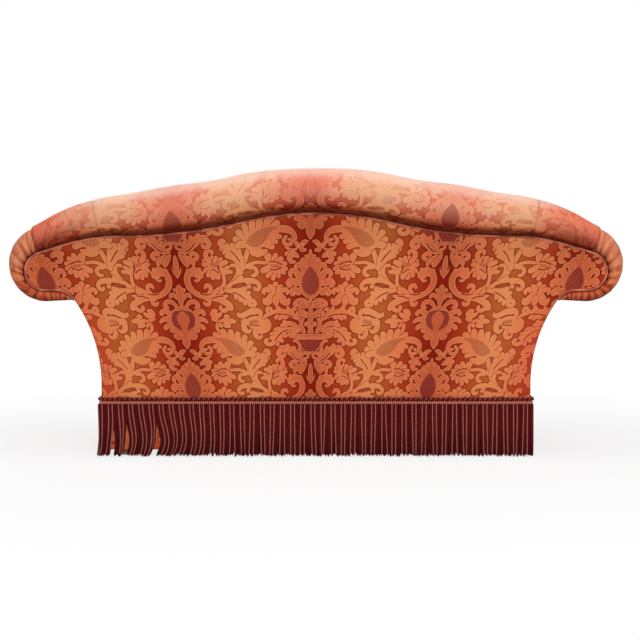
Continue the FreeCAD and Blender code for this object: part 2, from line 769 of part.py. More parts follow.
def make_outside_covers():
    edge = -number(WELT_EDGE)
    bottom = number(COVER_BOTTOM)
    half = Welt.half(edge)
    hollow = Arm.hollow(0, bottom)
    right = half + [(half[-1][-1], hollow[0][0])] + hollow
    left = mirrored_path(right)
    panel = left + right + lines(right[-1][-1], left[0][0])
    node(extruded("outside_back", panel, FRAME_BACK, "cover_back"), "outside_back")
    strip = Arm.hollow(number("cover_side"), bottom)
    side = closed(hollow + lines(hollow[-1][-1], strip[-1][-1]) + backward(strip))
    length = f"{FRAME_BACK} - {FRAME_FRONT}"
    node_pair("outside_arm", extruded("right_outside_arm", side, FRAME_FRONT, length))
    facing = Arm.board(edge, 0, bottom)
    node_pair("arm_facing", extruded("right_arm_facing", facing, FRONT, "cover_front"))
    border = f"{INNER} + arm_pad + welt_radius"
    node(box("front_border", f"-({border})", FRONT, COVER_BOTTOM, f"2 * ({border})", "cover_front",
             f"{PAD_BOTTOM} - fit_gap - {COVER_BOTTOM}"), "front_border")


def make_piping():
    radius = number("welt_radius")
    half = Welt.half(0)
    line = upright_wire(mirrored_path(half) + half, number(BACK))
    node(fixed("back_piping", tube(line, radius)), "back_piping")
    scroll = upright_wire(Arm.scroll(0, number(PAD_BOTTOM)), number(FRONT))
    node_pair("facing_piping", fixed("right_facing_piping", tube(scroll, radius)))


# Seat


def row(first, last, count):
    """Evenly spaced places, ends included, as expressions."""
    return [f"({first}) + (({last}) - ({first})) * {index} / {count - 1}" for index in range(count)]


def make_webbing():
    side = f"{RAIL_SIDE} - 6"
    clear = "2 * webbing_width"
    low = "foot_height - 2 * webbing_thickness"
    strap = ("webbing_width", "webbing_thickness")
    places = row(f"{FRONT_INSIDE} + {clear}", f"{BACK_INSIDE} - {clear} - webbing_width", 5)
    long = [box(f"long_strap_{i}", f"-({side})", y, low, f"2 * ({side})", *strap)
            for i, y in enumerate(places)]
    node(compound("seat_webbing_lengthwise", long), "seat_webbing_lengthwise")
    places = row(f"-{RAIL_INSIDE} + {clear}", f"{RAIL_INSIDE} - {clear} - webbing_width", 9)
    depth = f"{FRAME_BACK} - {FRAME_FRONT} - 12"
    cross = [box(f"cross_strap_{i}", x, f"{FRAME_FRONT} + 6", "foot_height - webbing_thickness",
                 "webbing_width", depth, "webbing_thickness") for i, x in enumerate(places)]
    node(compound("seat_webbing_crosswise", cross), "seat_webbing_crosswise")
    low, high = f"{TACK_BOTTOM} + 6", f"{TOP_RAIL_BOTTOM} + 40"
    places = row("30 - post_inner", "post_inner - 30 - webbing_width", 8)
    straps = [box(f"back_strap_{i}", x, f"{BACK_INSIDE} - webbing_thickness", low, *strap,
                  f"{high} - ({low})") for i, x in enumerate(places)]
    places = row(f"{TACK_BOTTOM} + 70", f"{TOP_RAIL_BOTTOM} - 70", 3)
    straps += [box(f"back_band_{i}", "-post_inner - 30", f"{BACK_INSIDE} - 2 * webbing_thickness", z,
                   "2 * post_inner + 60", "webbing_thickness", "webbing_width")
               for i, z in enumerate(places)]
    node(compound("back_webbing", straps), "back_webbing")
    node(box("back_lining", f"-{INNER} + 12", f"{BACK_INSIDE} - {BACK_LAYERS} + fit_gap", f"{PAD_BOTTOM}",
             f"2 * {INNER} - 24", "lining_thickness", f"{high} - {PAD_BOTTOM}"), "back_lining")


def biarc(start, start_way, end, end_way):
    """Two arcs from one point and direction to another, meeting smoothly."""
    step = end - start
    ways = start_way + end_way
    spread = 2 * (1 - start_way.dot(end_way))
    push = step.dot(ways)
    reach = (math.sqrt(push ** 2 + spread * step.dot(step)) - push) / spread
    first, last = start + start_way * reach, end - end_way * reach
    joint = (first + last) * 0.5
    return [round_to(start, start_way, joint), round_to(end, -end_way, joint)]


def round_to(start, way, end):
    """The arc that leaves a point along a direction and ends at another point."""
    chord = end - start
    across = chord - way * chord.dot(way)
    across.normalize()
    radius = chord.dot(chord) / (2 * chord.dot(across))
    centre = start + across * radius
    middle = (start + end) * 0.5 - centre
    middle.normalize()
    return Part.Arc(start, centre + middle * radius, end).toShape()


def coil_point(share):
    """A point of the spring wire, wide at both ends and narrow at the waist."""
    waist, end = number("spring_waist_radius"), number("spring_end_radius")
    wire = number("spring_wire_radius")
    radius = waist + (end - wire - waist) * (2 * share - 1) ** 2
    turn = 2 * math.pi * share * number("spring_turns")
    rise = wire + share * (number("spring_height") - 2 * wire)
    return Vector(radius * math.cos(turn), radius * math.sin(turn), rise)


def coil_way(share):
    way = coil_point(share + 0.0005) - coil_point(share - 0.0005)
    way.normalize()
    return way


def make_springs():
    """Hourglass coil springs standing on the webbing, each one tube of wire."""
    wire = number("spring_wire_radius")
    turns = int(number("spring_turns"))
    shares = [index / (4 * turns) for index in range(4 * turns + 1)]
    edges = []
    for share, following in zip(shares[:-1], shares[1:]):
        edges += biarc(coil_point(share), coil_way(share), coil_point(following), coil_way(following))
    spring = tube(Part.Wire(Part.sortEdges(edges)[0]), wire)
    points = [coil_point(index / (24 * turns)) for index in range(24 * turns + 1)]
    gap = min((a - b).Length for i, a in enumerate(points) for b in points[i + 12:]) - 2 * wire
    print(f"least gap of the spring wire to itself {gap:.1f} mm")
    margin = number("spring_end_radius + 36")
    half = number(INNER) - margin
    front, rear = number(FRONT_INSIDE) + margin, number(BACK_INSIDE) - margin - 60
    copies = []
    for column in range(6):
        for line in range(3):
            across, along = half * (2 * column / 5 - 1), front + (rear - front) * line / 2
            copy = spring.copy()
            copy.translate(Vector(across, along, number(SPRING_BOTTOM)))
            copies.append(copy)
    node(fixed("seat_springs", Part.makeCompound(copies)), "seat_springs")


def hip_form(inset, low, high):
    """A block that narrows upward, from just inside the seat rails to the top of the springs."""
    def corners(half, front, rear, z):
        plan = ((-half, front), (half, front), (half, rear), (-half, rear), (-half, front))
        return Part.makePolygon([Vector(x, y, z) for x, y in plan])

    gap = number("fit_gap") + inset
    wide = corners(number(RAIL_INSIDE) - gap, number(FRONT_INSIDE) + gap, number(BACK_INSIDE) - gap, low)
    narrow = corners(number(INNER) - 10 - inset, number(FRONT_INSIDE) + 6 + inset,
                     number(BACK_INSIDE) - 50 - inset, high)
    return Part.makeLoft([wide, narrow], True)


def make_canvas():
    """Canvas over the springs, tacked inside the seat rails."""
    thick = number("lining_thickness")
    low, high = number(f"{RAIL_TOP} - 18"), number(CANVAS_TOP)
    shell = hip_form(0, low, high).cut(hip_form(thick, low - 0.01, high - thick))
    node(fixed("spring_canvas", shell), "spring_canvas")


def make_deck():
    start = f"{FRAME_FRONT} + edge_roll_depth + fit_gap"
    bottom = f"{CANVAS_TOP} + fit_gap"
    half = f"{INNER} - 3"
    node(box("seat_deck", f"-({half})", start, bottom, f"2 * ({half})", f"{SEAT_REAR} - 2 - ({start})",
             "deck_height"), "seat_deck")
    front, rear = number(FRAME_FRONT), number(f"{FRAME_FRONT} + edge_roll_depth")
    low, high = number(PAD_BOTTOM), number(DECK_TOP)
    nose = (at(front + 14, low), at(front, (low + high) / 2), at(front + 14, high - 4))
    profile = [nose] + lines(nose[-1], at(front + 30, high), at(rear, high), at(rear, number(bottom)),
                             at(front + 50, number(bottom)), nose[0])
    roll = extruded("front_edge_roll", profile, f"-({half})", f"2 * ({half})", plane="YZ_Plane")
    node(roll, "front_edge_roll")


def make_dust_cover():
    half = f"{RAIL_SIDE} - 4"
    start = f"{FRAME_FRONT} + 4"
    low = "foot_height - 2 * webbing_thickness - fit_gap - lining_thickness"
    sheet_form = box("dust_cover_form", f"-({half})", start, low, f"2 * ({half})",
                     f"{FRAME_BACK} - {FRAME_FRONT} - 8", "lining_thickness")
    notch = cylinder("foot_notch", "z", f"{RAIL_INSIDE} - stud_inset", f"{FRONT_INSIDE} + stud_inset",
                     "0", "foot_radius + 3", "2 * foot_height")
    node(cut("dust_cover", sheet_form, four_corners("foot_notch", notch)), "dust_cover")


# Loose cushion


def rounded_rectangle(half, front, rear, radius, height):
    """A level rectangle with round corners, as a wire."""
    corners = ((half, rear, 0), (-half, rear, 90), (-half, front, 180), (half, front, 270))
    rims = []
    for x, y, start in corners:
        centre = at(x - math.copysign(radius, x), y - radius if y == rear else y + radius)
        rims.append(arc(centre, radius, start, start + 90))
    path = []
    for rim, following in zip(rims, rims[1:] + rims[:1]):
        path += [rim, (rim[-1], following[0])]
    wire = Part.Wire([curve.toShape() for curve in geometry(path)])
    wire.translate(Vector(0, 0, height))
    return wire


def cushion_rim(out, height):
    """The cushion's plan at a height, grown from the seam line by an amount."""
    edge = "cushion_clearance + 2 * welt_radius + fit_gap"
    half = number(f"{INNER} - ({edge})") + out
    front = number(f"{FRONT} + 2 * welt_radius + fit_gap") - out
    rear = number(f"{SEAT_REAR} - ({edge})") + out
    return rounded_rectangle(half, front, rear, max(number("cushion_corner") + out, 20), height)


def cushion_form(inset):
    """Boxed cushion: drawn-in sides between two seams, flat below and crowned above."""
    bottom = number(CUSHION_BOTTOM)
    seam = bottom + 12
    upper = seam + number("cushion_border")
    top = upper + number("cushion_crown")
    depth = number(f"{SEAT_REAR} - {FRONT}")
    levels = [(-10, bottom), (0, seam), (-5, (seam + upper) / 2), (0, upper)]
    for inward, share in ((0.04, 0.45), (0.14, 0.8), (0.31, 1)):
        levels.append((-inward * depth, upper + share * (top - upper)))
    squeeze = 1 - 2 * inset / (top - bottom)
    levels = [(out, bottom + inset + squeeze * (height - bottom)) for out, height in levels]
    return Part.makeLoft([cushion_rim(out - inset, height) for out, height in levels], True, True)


def make_cushion():
    thick, gap = number("cushion_cover_thickness"), number("fit_gap")
    node(fixed("cushion_cover", cushion_form(0).cut(cushion_form(thick))), "cushion_cover")
    node(fixed("cushion_core", cushion_form(thick + gap)), "cushion_core")
    seam = number(CUSHION_BOTTOM) + 12
    cords = [tube(cushion_rim(number(WELT_EDGE), height), number("welt_radius"))
             for height in (seam, seam + number("cushion_border"))]
    node(fixed("cushion_piping", Part.makeCompound(cords)), "cushion_piping")


# Fringe


def make_fringe():
    out = f"({HALF_BASE} + fit_gap)"
    front, rear = f"({FRONT} - fit_gap)", f"({BACK} + fit_gap)"
    depth = f"{rear} - {front}"
    thick = "bullion_thickness"
    wide = f"2 * {out} + 2 * bullion_thickness"
    up = ("bullion_lift", wide, thick, "bullion_length")
    beside = ("bullion_lift", thick, depth, "bullion_length")
    sides = [
        box("bullions_front", f"-{out} - {thick}", f"{front} - {thick}", *up),
        box("bullions_back", f"-{out} - {thick}", rear, *up),
        box("bullions_right", out, front, *beside),
        box("bullions_left", f"-{out} - {thick}", front, *beside),
    ]
    node(compound("bullion_fringe", sides), "bullion_fringe")
    low = "bullion_lift + bullion_length + fit_gap"
    grow = "gimp_thickness"
    ring = box("gimp_outside", f"-{out} - {grow}", f"{front} - {grow}", low, f"2 * {out} + 2 * {grow}",
               f"{depth} + 2 * {grow}", "gimp_height")
    hole = box("gimp_inside", f"-{out}", front, low, f"2 * {out}", depth, "gimp_height")
    node(cut("fringe_gimp", ring, [hole]), "fringe_gimp")
    radius, gap = number("cord_radius"), number("fit_gap")
    line = rounded_rectangle(number(out) + radius, number(front) - radius, number(rear) + radius,
                             radius + gap, number("cord_height"))
    node(fixed("fringe_cord", tube(line, radius)), "fringe_cord")


plan_seat_dowels()
plan_back_dowels()
plan_arm_dowels()
make_corner_blocks()
make_seat_rails()
make_feet()
make_back_frame()
make_arm_frames()
node(compound("frame_dowels", DOWELS), "frame_dowels")
make_arm_lining()
back_roll_space = make_back_roll()
make_arm_pads(back_roll_space)
make_inside_back(back_roll_space)
make_outside_covers()
make_piping()
make_webbing()
make_springs()
make_canvas()
make_deck()
make_dust_cover()
make_cushion()
make_fringe()
doc.recompute()

for piece in doc.Objects:
    if "Invalid" in piece.State or "Error" in piece.State:
        raise RuntimeError(f"{piece.Label} could not be made: {piece.State}")
os.makedirs("parts", exist_ok=True)
for piece in NODES:
    shape = piece.Shape
    if shape.isNull() or not shape.isValid() or not shape.Solids:
        raise RuntimeError(f"{piece.Label} is not a sound solid")
    shape.exportStep(f"parts/{piece.Label}.step")
    print(piece.Label, len(shape.Solids), round(shape.Volume / 1000, 1))
print(len(NODES), "nodes")
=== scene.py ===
import math
import bpy
import numpy as np
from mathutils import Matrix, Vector


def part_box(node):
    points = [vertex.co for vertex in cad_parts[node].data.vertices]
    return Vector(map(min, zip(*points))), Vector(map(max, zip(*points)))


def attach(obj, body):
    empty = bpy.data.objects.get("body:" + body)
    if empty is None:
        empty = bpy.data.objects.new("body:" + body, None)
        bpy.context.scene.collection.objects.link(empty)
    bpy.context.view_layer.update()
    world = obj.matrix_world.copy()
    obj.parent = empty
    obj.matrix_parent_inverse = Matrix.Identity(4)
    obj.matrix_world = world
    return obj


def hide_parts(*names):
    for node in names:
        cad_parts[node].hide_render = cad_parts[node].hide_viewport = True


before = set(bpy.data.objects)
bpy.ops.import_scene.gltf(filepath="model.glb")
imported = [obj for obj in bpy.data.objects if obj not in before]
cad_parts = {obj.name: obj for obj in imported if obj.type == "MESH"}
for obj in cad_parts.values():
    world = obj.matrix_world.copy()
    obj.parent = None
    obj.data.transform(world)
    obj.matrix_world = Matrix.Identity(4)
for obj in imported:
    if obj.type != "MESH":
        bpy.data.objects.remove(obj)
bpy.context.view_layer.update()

# Camelback loveseat in its damask. Metres, Z up, the seat faces -Y; the photograph looks at the back.

# Base and covers
HALF_BASE = 0.588
BACK = 0.343
FRONT = -0.4047
COVER_BOTTOM = 0.046
APRON_BOTTOM = 0.020
PAD_BOTTOM = 0.2495
FRINGE_LINE = 0.165
SEAT_SIDE = 0.492
WELT_RADIUS = 0.0033
BESIDE_WELT = 0.0046
BESIDE_ARM = 0.0006

# Outline of the back
CREST = 0.6674
SHOULDER = 0.6047
SHOULDER_RADIUS = 0.529
HUMP_SHARE = 0.37
SLOPE = 17.6
LOBE = (0.743, 0.510)
LOBE_RADIUS = 0.052
NECK_RADIUS = 0.060
CORNER = (0.661, 0.431)

# Arms in section
ARM_INNER = 0.495
ARM_UPRIGHT = 0.260
ARM_PAD = 0.040
ARM_ROLL = (0.737, 0.530)
ARM_ROLL_RADIUS = 0.103
ARM_BEND = 0.050
FLARE_CENTRE = (0.990, 0.200)
FLARE_RADIUS = 0.402

# Back roll: its radius and its flattening at distances from the middle
ROLL_DEPTH = 0.351
ROLL_RADII = (
    (0, 0.198, 0.366, 0.5345, 0.615, 0.694, 0.7587),
    (0.059, 0.0615, 0.064, 0.055, 0.048, 0.040, 0.032),
)
ROLL_FLATTENING = ((0.60, 0.70, 0.7587), (1, 0.78, 0.42))
ROLL_JOIN = 0.591

# Meshes and trim
CLOTH_STEP = 0.003
BACK_STEP = 0.0021
YARN_SIZE = 0.003
YARN_PITCH = 0.014
GIMP_RIB = 0.0056


# Outlines in the plane of the back, for the half where x is positive


def eased(value, low, high):
    """0 at one limit, 1 at the other and smooth between."""
    share = np.clip((value - low) / (high - low), 0, 1)
    return share * share * (3 - 2 * share)


def arc(centre, radius, start, end):
    """Points along a circle from one angle to another, in degrees."""
    sweep = math.radians(end - start)
    count = max(3, round(abs(sweep) * radius / 0.002))
    angle = math.radians(start) + sweep * np.linspace(0, 1, count)
    return np.column_stack([centre[0] + radius * np.cos(angle), centre[1] + radius * np.sin(angle)])


def along(path):
    """Length of the path from its start to each of its points."""
    return np.concatenate([[0], np.cumsum(np.linalg.norm(np.diff(path, axis=0), axis=1))])


def joined(*runs):
    """Runs of points as one path, without points that fall together."""
    path = np.vstack([np.asarray(run, float) for run in runs])
    steps = np.linalg.norm(np.diff(path, axis=0), axis=1)
    return path[np.concatenate([[True], steps > 1e-6])]


def spaced(path, count):
    """The path again, with its points evenly apart."""
    length = along(path)
    places = np.linspace(0, length[-1], count)
    return np.column_stack([np.interp(places, length, column) for column in path.T])


def stepped(path, step):
    """The path again, with its points a step apart."""
    return spaced(path, int(along(path)[-1] / step))


def left_of(path):
    """Unit vectors square to the path, to its left."""
    ahead = np.gradient(path, axis=0)
    ahead /= np.linalg.norm(ahead, axis=1)[:, None]
    return np.column_stack([-ahead[:, 1], ahead[:, 0]])


def mirrored(path):
    """The path with its mirror image before it."""
    return joined(path[::-1] * [-1, 1], path)


def rounded_frame(right, front, rear, radius):
    """Rectangle with round corners seen from above, anticlockwise from the middle of its front."""
    half = joined(
        [(0, front - radius)],
        arc((right, front), radius, -90, 0),
        arc((right, rear), radius, 0, 90),
        [(0, rear + radius)],
    )
    return joined(half, half[::-1] * [-1, 1])


def slope_point():
    """Where the slope of the back meets the lobe."""
    angle = math.radians(90 - SLOPE)
    return LOBE[0] + LOBE_RADIUS * math.cos(angle), LOBE[1] + LOBE_RADIUS * math.sin(angle)


def welt_top(out):
    """The piping over the back: hump, dip, shoulder and slope, as far as the lobe."""
    x, z = slope_point()
    tilt = math.radians(SLOPE)
    shoulder = x - (SHOULDER - z) / math.tan(tilt) - SHOULDER_RADIUS * math.tan(tilt / 2)
    lean = 2 * math.degrees(math.atan2(CREST - SHOULDER, shoulder))
    radii = shoulder / math.sin(math.radians(lean))
    hump = radii * HUMP_SHARE
    dip = radii - hump
    return joined(
        arc((0, CREST - hump), hump + out, 90, 90 - lean),
        arc((shoulder, SHOULDER + dip), dip - out, 270 - lean, 270),
        arc((shoulder, SHOULDER - SHOULDER_RADIUS), SHOULDER_RADIUS + out, 90, 90 - SLOPE),
        welt_lobe(out)[:1],
    )


def welt_lobe(out):
    """The piping round the lobe."""
    return arc(LOBE, LOBE_RADIUS + out, 90 - SLOPE, -90)


def welt_neck(out):
    """The piping from under the lobe to the corner below the arm."""
    sill = LOBE[1] - LOBE_RADIUS
    fall = sill - CORNER[1]
    reach = math.sqrt(2 * fall * NECK_RADIUS - fall ** 2)
    turn = math.degrees(math.asin(reach / NECK_RADIUS))
    neck = arc((CORNER[0] + reach, sill - NECK_RADIUS), NECK_RADIUS - out, 90, 90 + turn)
    return joined([(LOBE[0], sill - out)], neck)


def hollow(bottom=COVER_BOTTOM):
    """The outer side of the arm, from the corner down to the base."""
    rise = CORNER[1] - FLARE_CENTRE[1]
    side = arc(FLARE_CENTRE, FLARE_RADIUS, 180 - math.degrees(math.asin(rise / FLARE_RADIUS)), 180)
    return joined(side, [(HALF_BASE, bottom)])


def face_circle():
    """Centre and radius of the arm's hollow inner face."""
    run = ARM_ROLL[0] - ARM_INNER
    rise = ARM_ROLL[1] - ARM_UPRIGHT
    radius = (run ** 2 + rise ** 2 - ARM_ROLL_RADIUS ** 2) / (2 * (run - ARM_ROLL_RADIUS))
    return (ARM_INNER + radius, ARM_UPRIGHT), radius


def arm_cover(counts, bottom):
    """The arm's cover in section: inner face, crest, roll and underside, each with its count of points."""
    centre, radius = face_circle()
    crest = math.degrees(math.atan2(ARM_ROLL[1] - centre[1], ARM_ROLL[0] - centre[0]))
    runs = [
        joined([(ARM_INNER, bottom)], arc(centre, radius, 180, crest)),
        arc(ARM_ROLL, ARM_ROLL_RADIUS, crest, 90 - SLOPE),
        arc(ARM_ROLL, ARM_ROLL_RADIUS, 90 - SLOPE, -90),
        np.array([(ARM_ROLL[0], ARM_ROLL[1] - ARM_ROLL_RADIUS), CORNER]),
    ]
    return joined(*[spaced(run, count) for run, count in zip(runs, counts)])


def arm_board(counts, bottom, out):
    """The edge of the arm's end boards, with the same counts of points as its cover."""
    centre, radius = face_circle()
    radius -= ARM_PAD
    tilt = math.radians(SLOPE)
    back = np.array([-math.cos(tilt), math.sin(tilt)])
    start = np.array(LOBE) + (LOBE_RADIUS - ARM_BEND) * np.array([math.sin(tilt), math.cos(tilt)])
    offset = start - centre
    half = back @ offset
    step = math.sqrt(half ** 2 - offset @ offset + (radius - ARM_BEND) ** 2) - half
    bend = start + back * step
    turn = math.degrees(math.atan2(bend[1] - centre[1], bend[0] - centre[0]))
    runs = [
        joined([(centre[0] - radius - out, bottom)], arc(centre, radius + out, 180, turn)),
        joined(arc(bend, ARM_BEND + out, turn, 90 - SLOPE), welt_lobe(out)[:1]),
        welt_lobe(out),
        welt_neck(out),
    ]
    return joined(*[spaced(run, count) for run, count in zip(runs, counts)])


# Damask, drawn in millimetres on one half repeat, from one mirror line of the pattern to the next

AXIS_GAP = 344
HALF_DROP = 290
DRAWING_STEP = 0.8
OUTLINE = 1.8
GROOVE = 1.9
FULLNESS = 0.4
VEIN = 1.2
BESIDE_STROKE = 6
OUTSIDE = -99.0
FURTHEST_OUT = -9

ACROSS = np.arange(0, AXIS_GAP + DRAWING_STEP, DRAWING_STEP)
UPWARD = np.arange(0, HALF_DROP + DRAWING_STEP, DRAWING_STEP)


def smooth_run(points):
    """Dabs along a smooth curve through points of (across, up, half width)."""
    points = np.array(points, float)
    if len(points) == 1:
        return points
    ends = np.vstack([2 * points[0] - points[1], points, 2 * points[-1] - points[-2]])
    dabs = []
    for a, b, c, d in zip(ends, ends[1:], ends[2:], ends[3:]):
        count = int(np.hypot(*(c - b)[:2]) / max(0.25 * min(b[2], c[2]), 0.6)) + 2
        t = np.linspace(0, 1, count)[:, None]
        dabs.append(b + 0.5 * t * (c - a + t * (2 * a - 5 * b + 4 * c - d + t * (3 * (b - c) + d - a))))
    return np.vstack(dabs)


def copies(dabs):
    """The dabs where the half drop of the pattern repeats them."""
    yield dabs
    for drop in (-2, -1, 1, 2):
        moved = dabs + [0, drop * HALF_DROP, 0]
        if drop % 2:
            moved[:, 0] = AXIS_GAP - moved[:, 0]
        yield moved


def depth_in(strokes):
    """How far each point of the cloth lies inside the strokes."""
    field = np.full((len(UPWARD), len(ACROSS)), OUTSIDE)
    for stroke in strokes:
        for dabs in copies(smooth_run(stroke)):
            for u, v, r in dabs:
                r = r + FULLNESS
                reach = r + BESIDE_STROKE
                rows = slice(*np.searchsorted(UPWARD, [v - reach, v + reach]))
                columns = slice(*np.searchsorted(ACROSS, [u - reach, u + reach]))
                apart = np.hypot(ACROSS[columns] - u, UPWARD[rows, None] - v)
                np.maximum(field[rows, columns], r - apart, out=field[rows, columns])
    return field


# Each motif: lobes that overlap with a groove between, strokes that join them, and veins cut into them

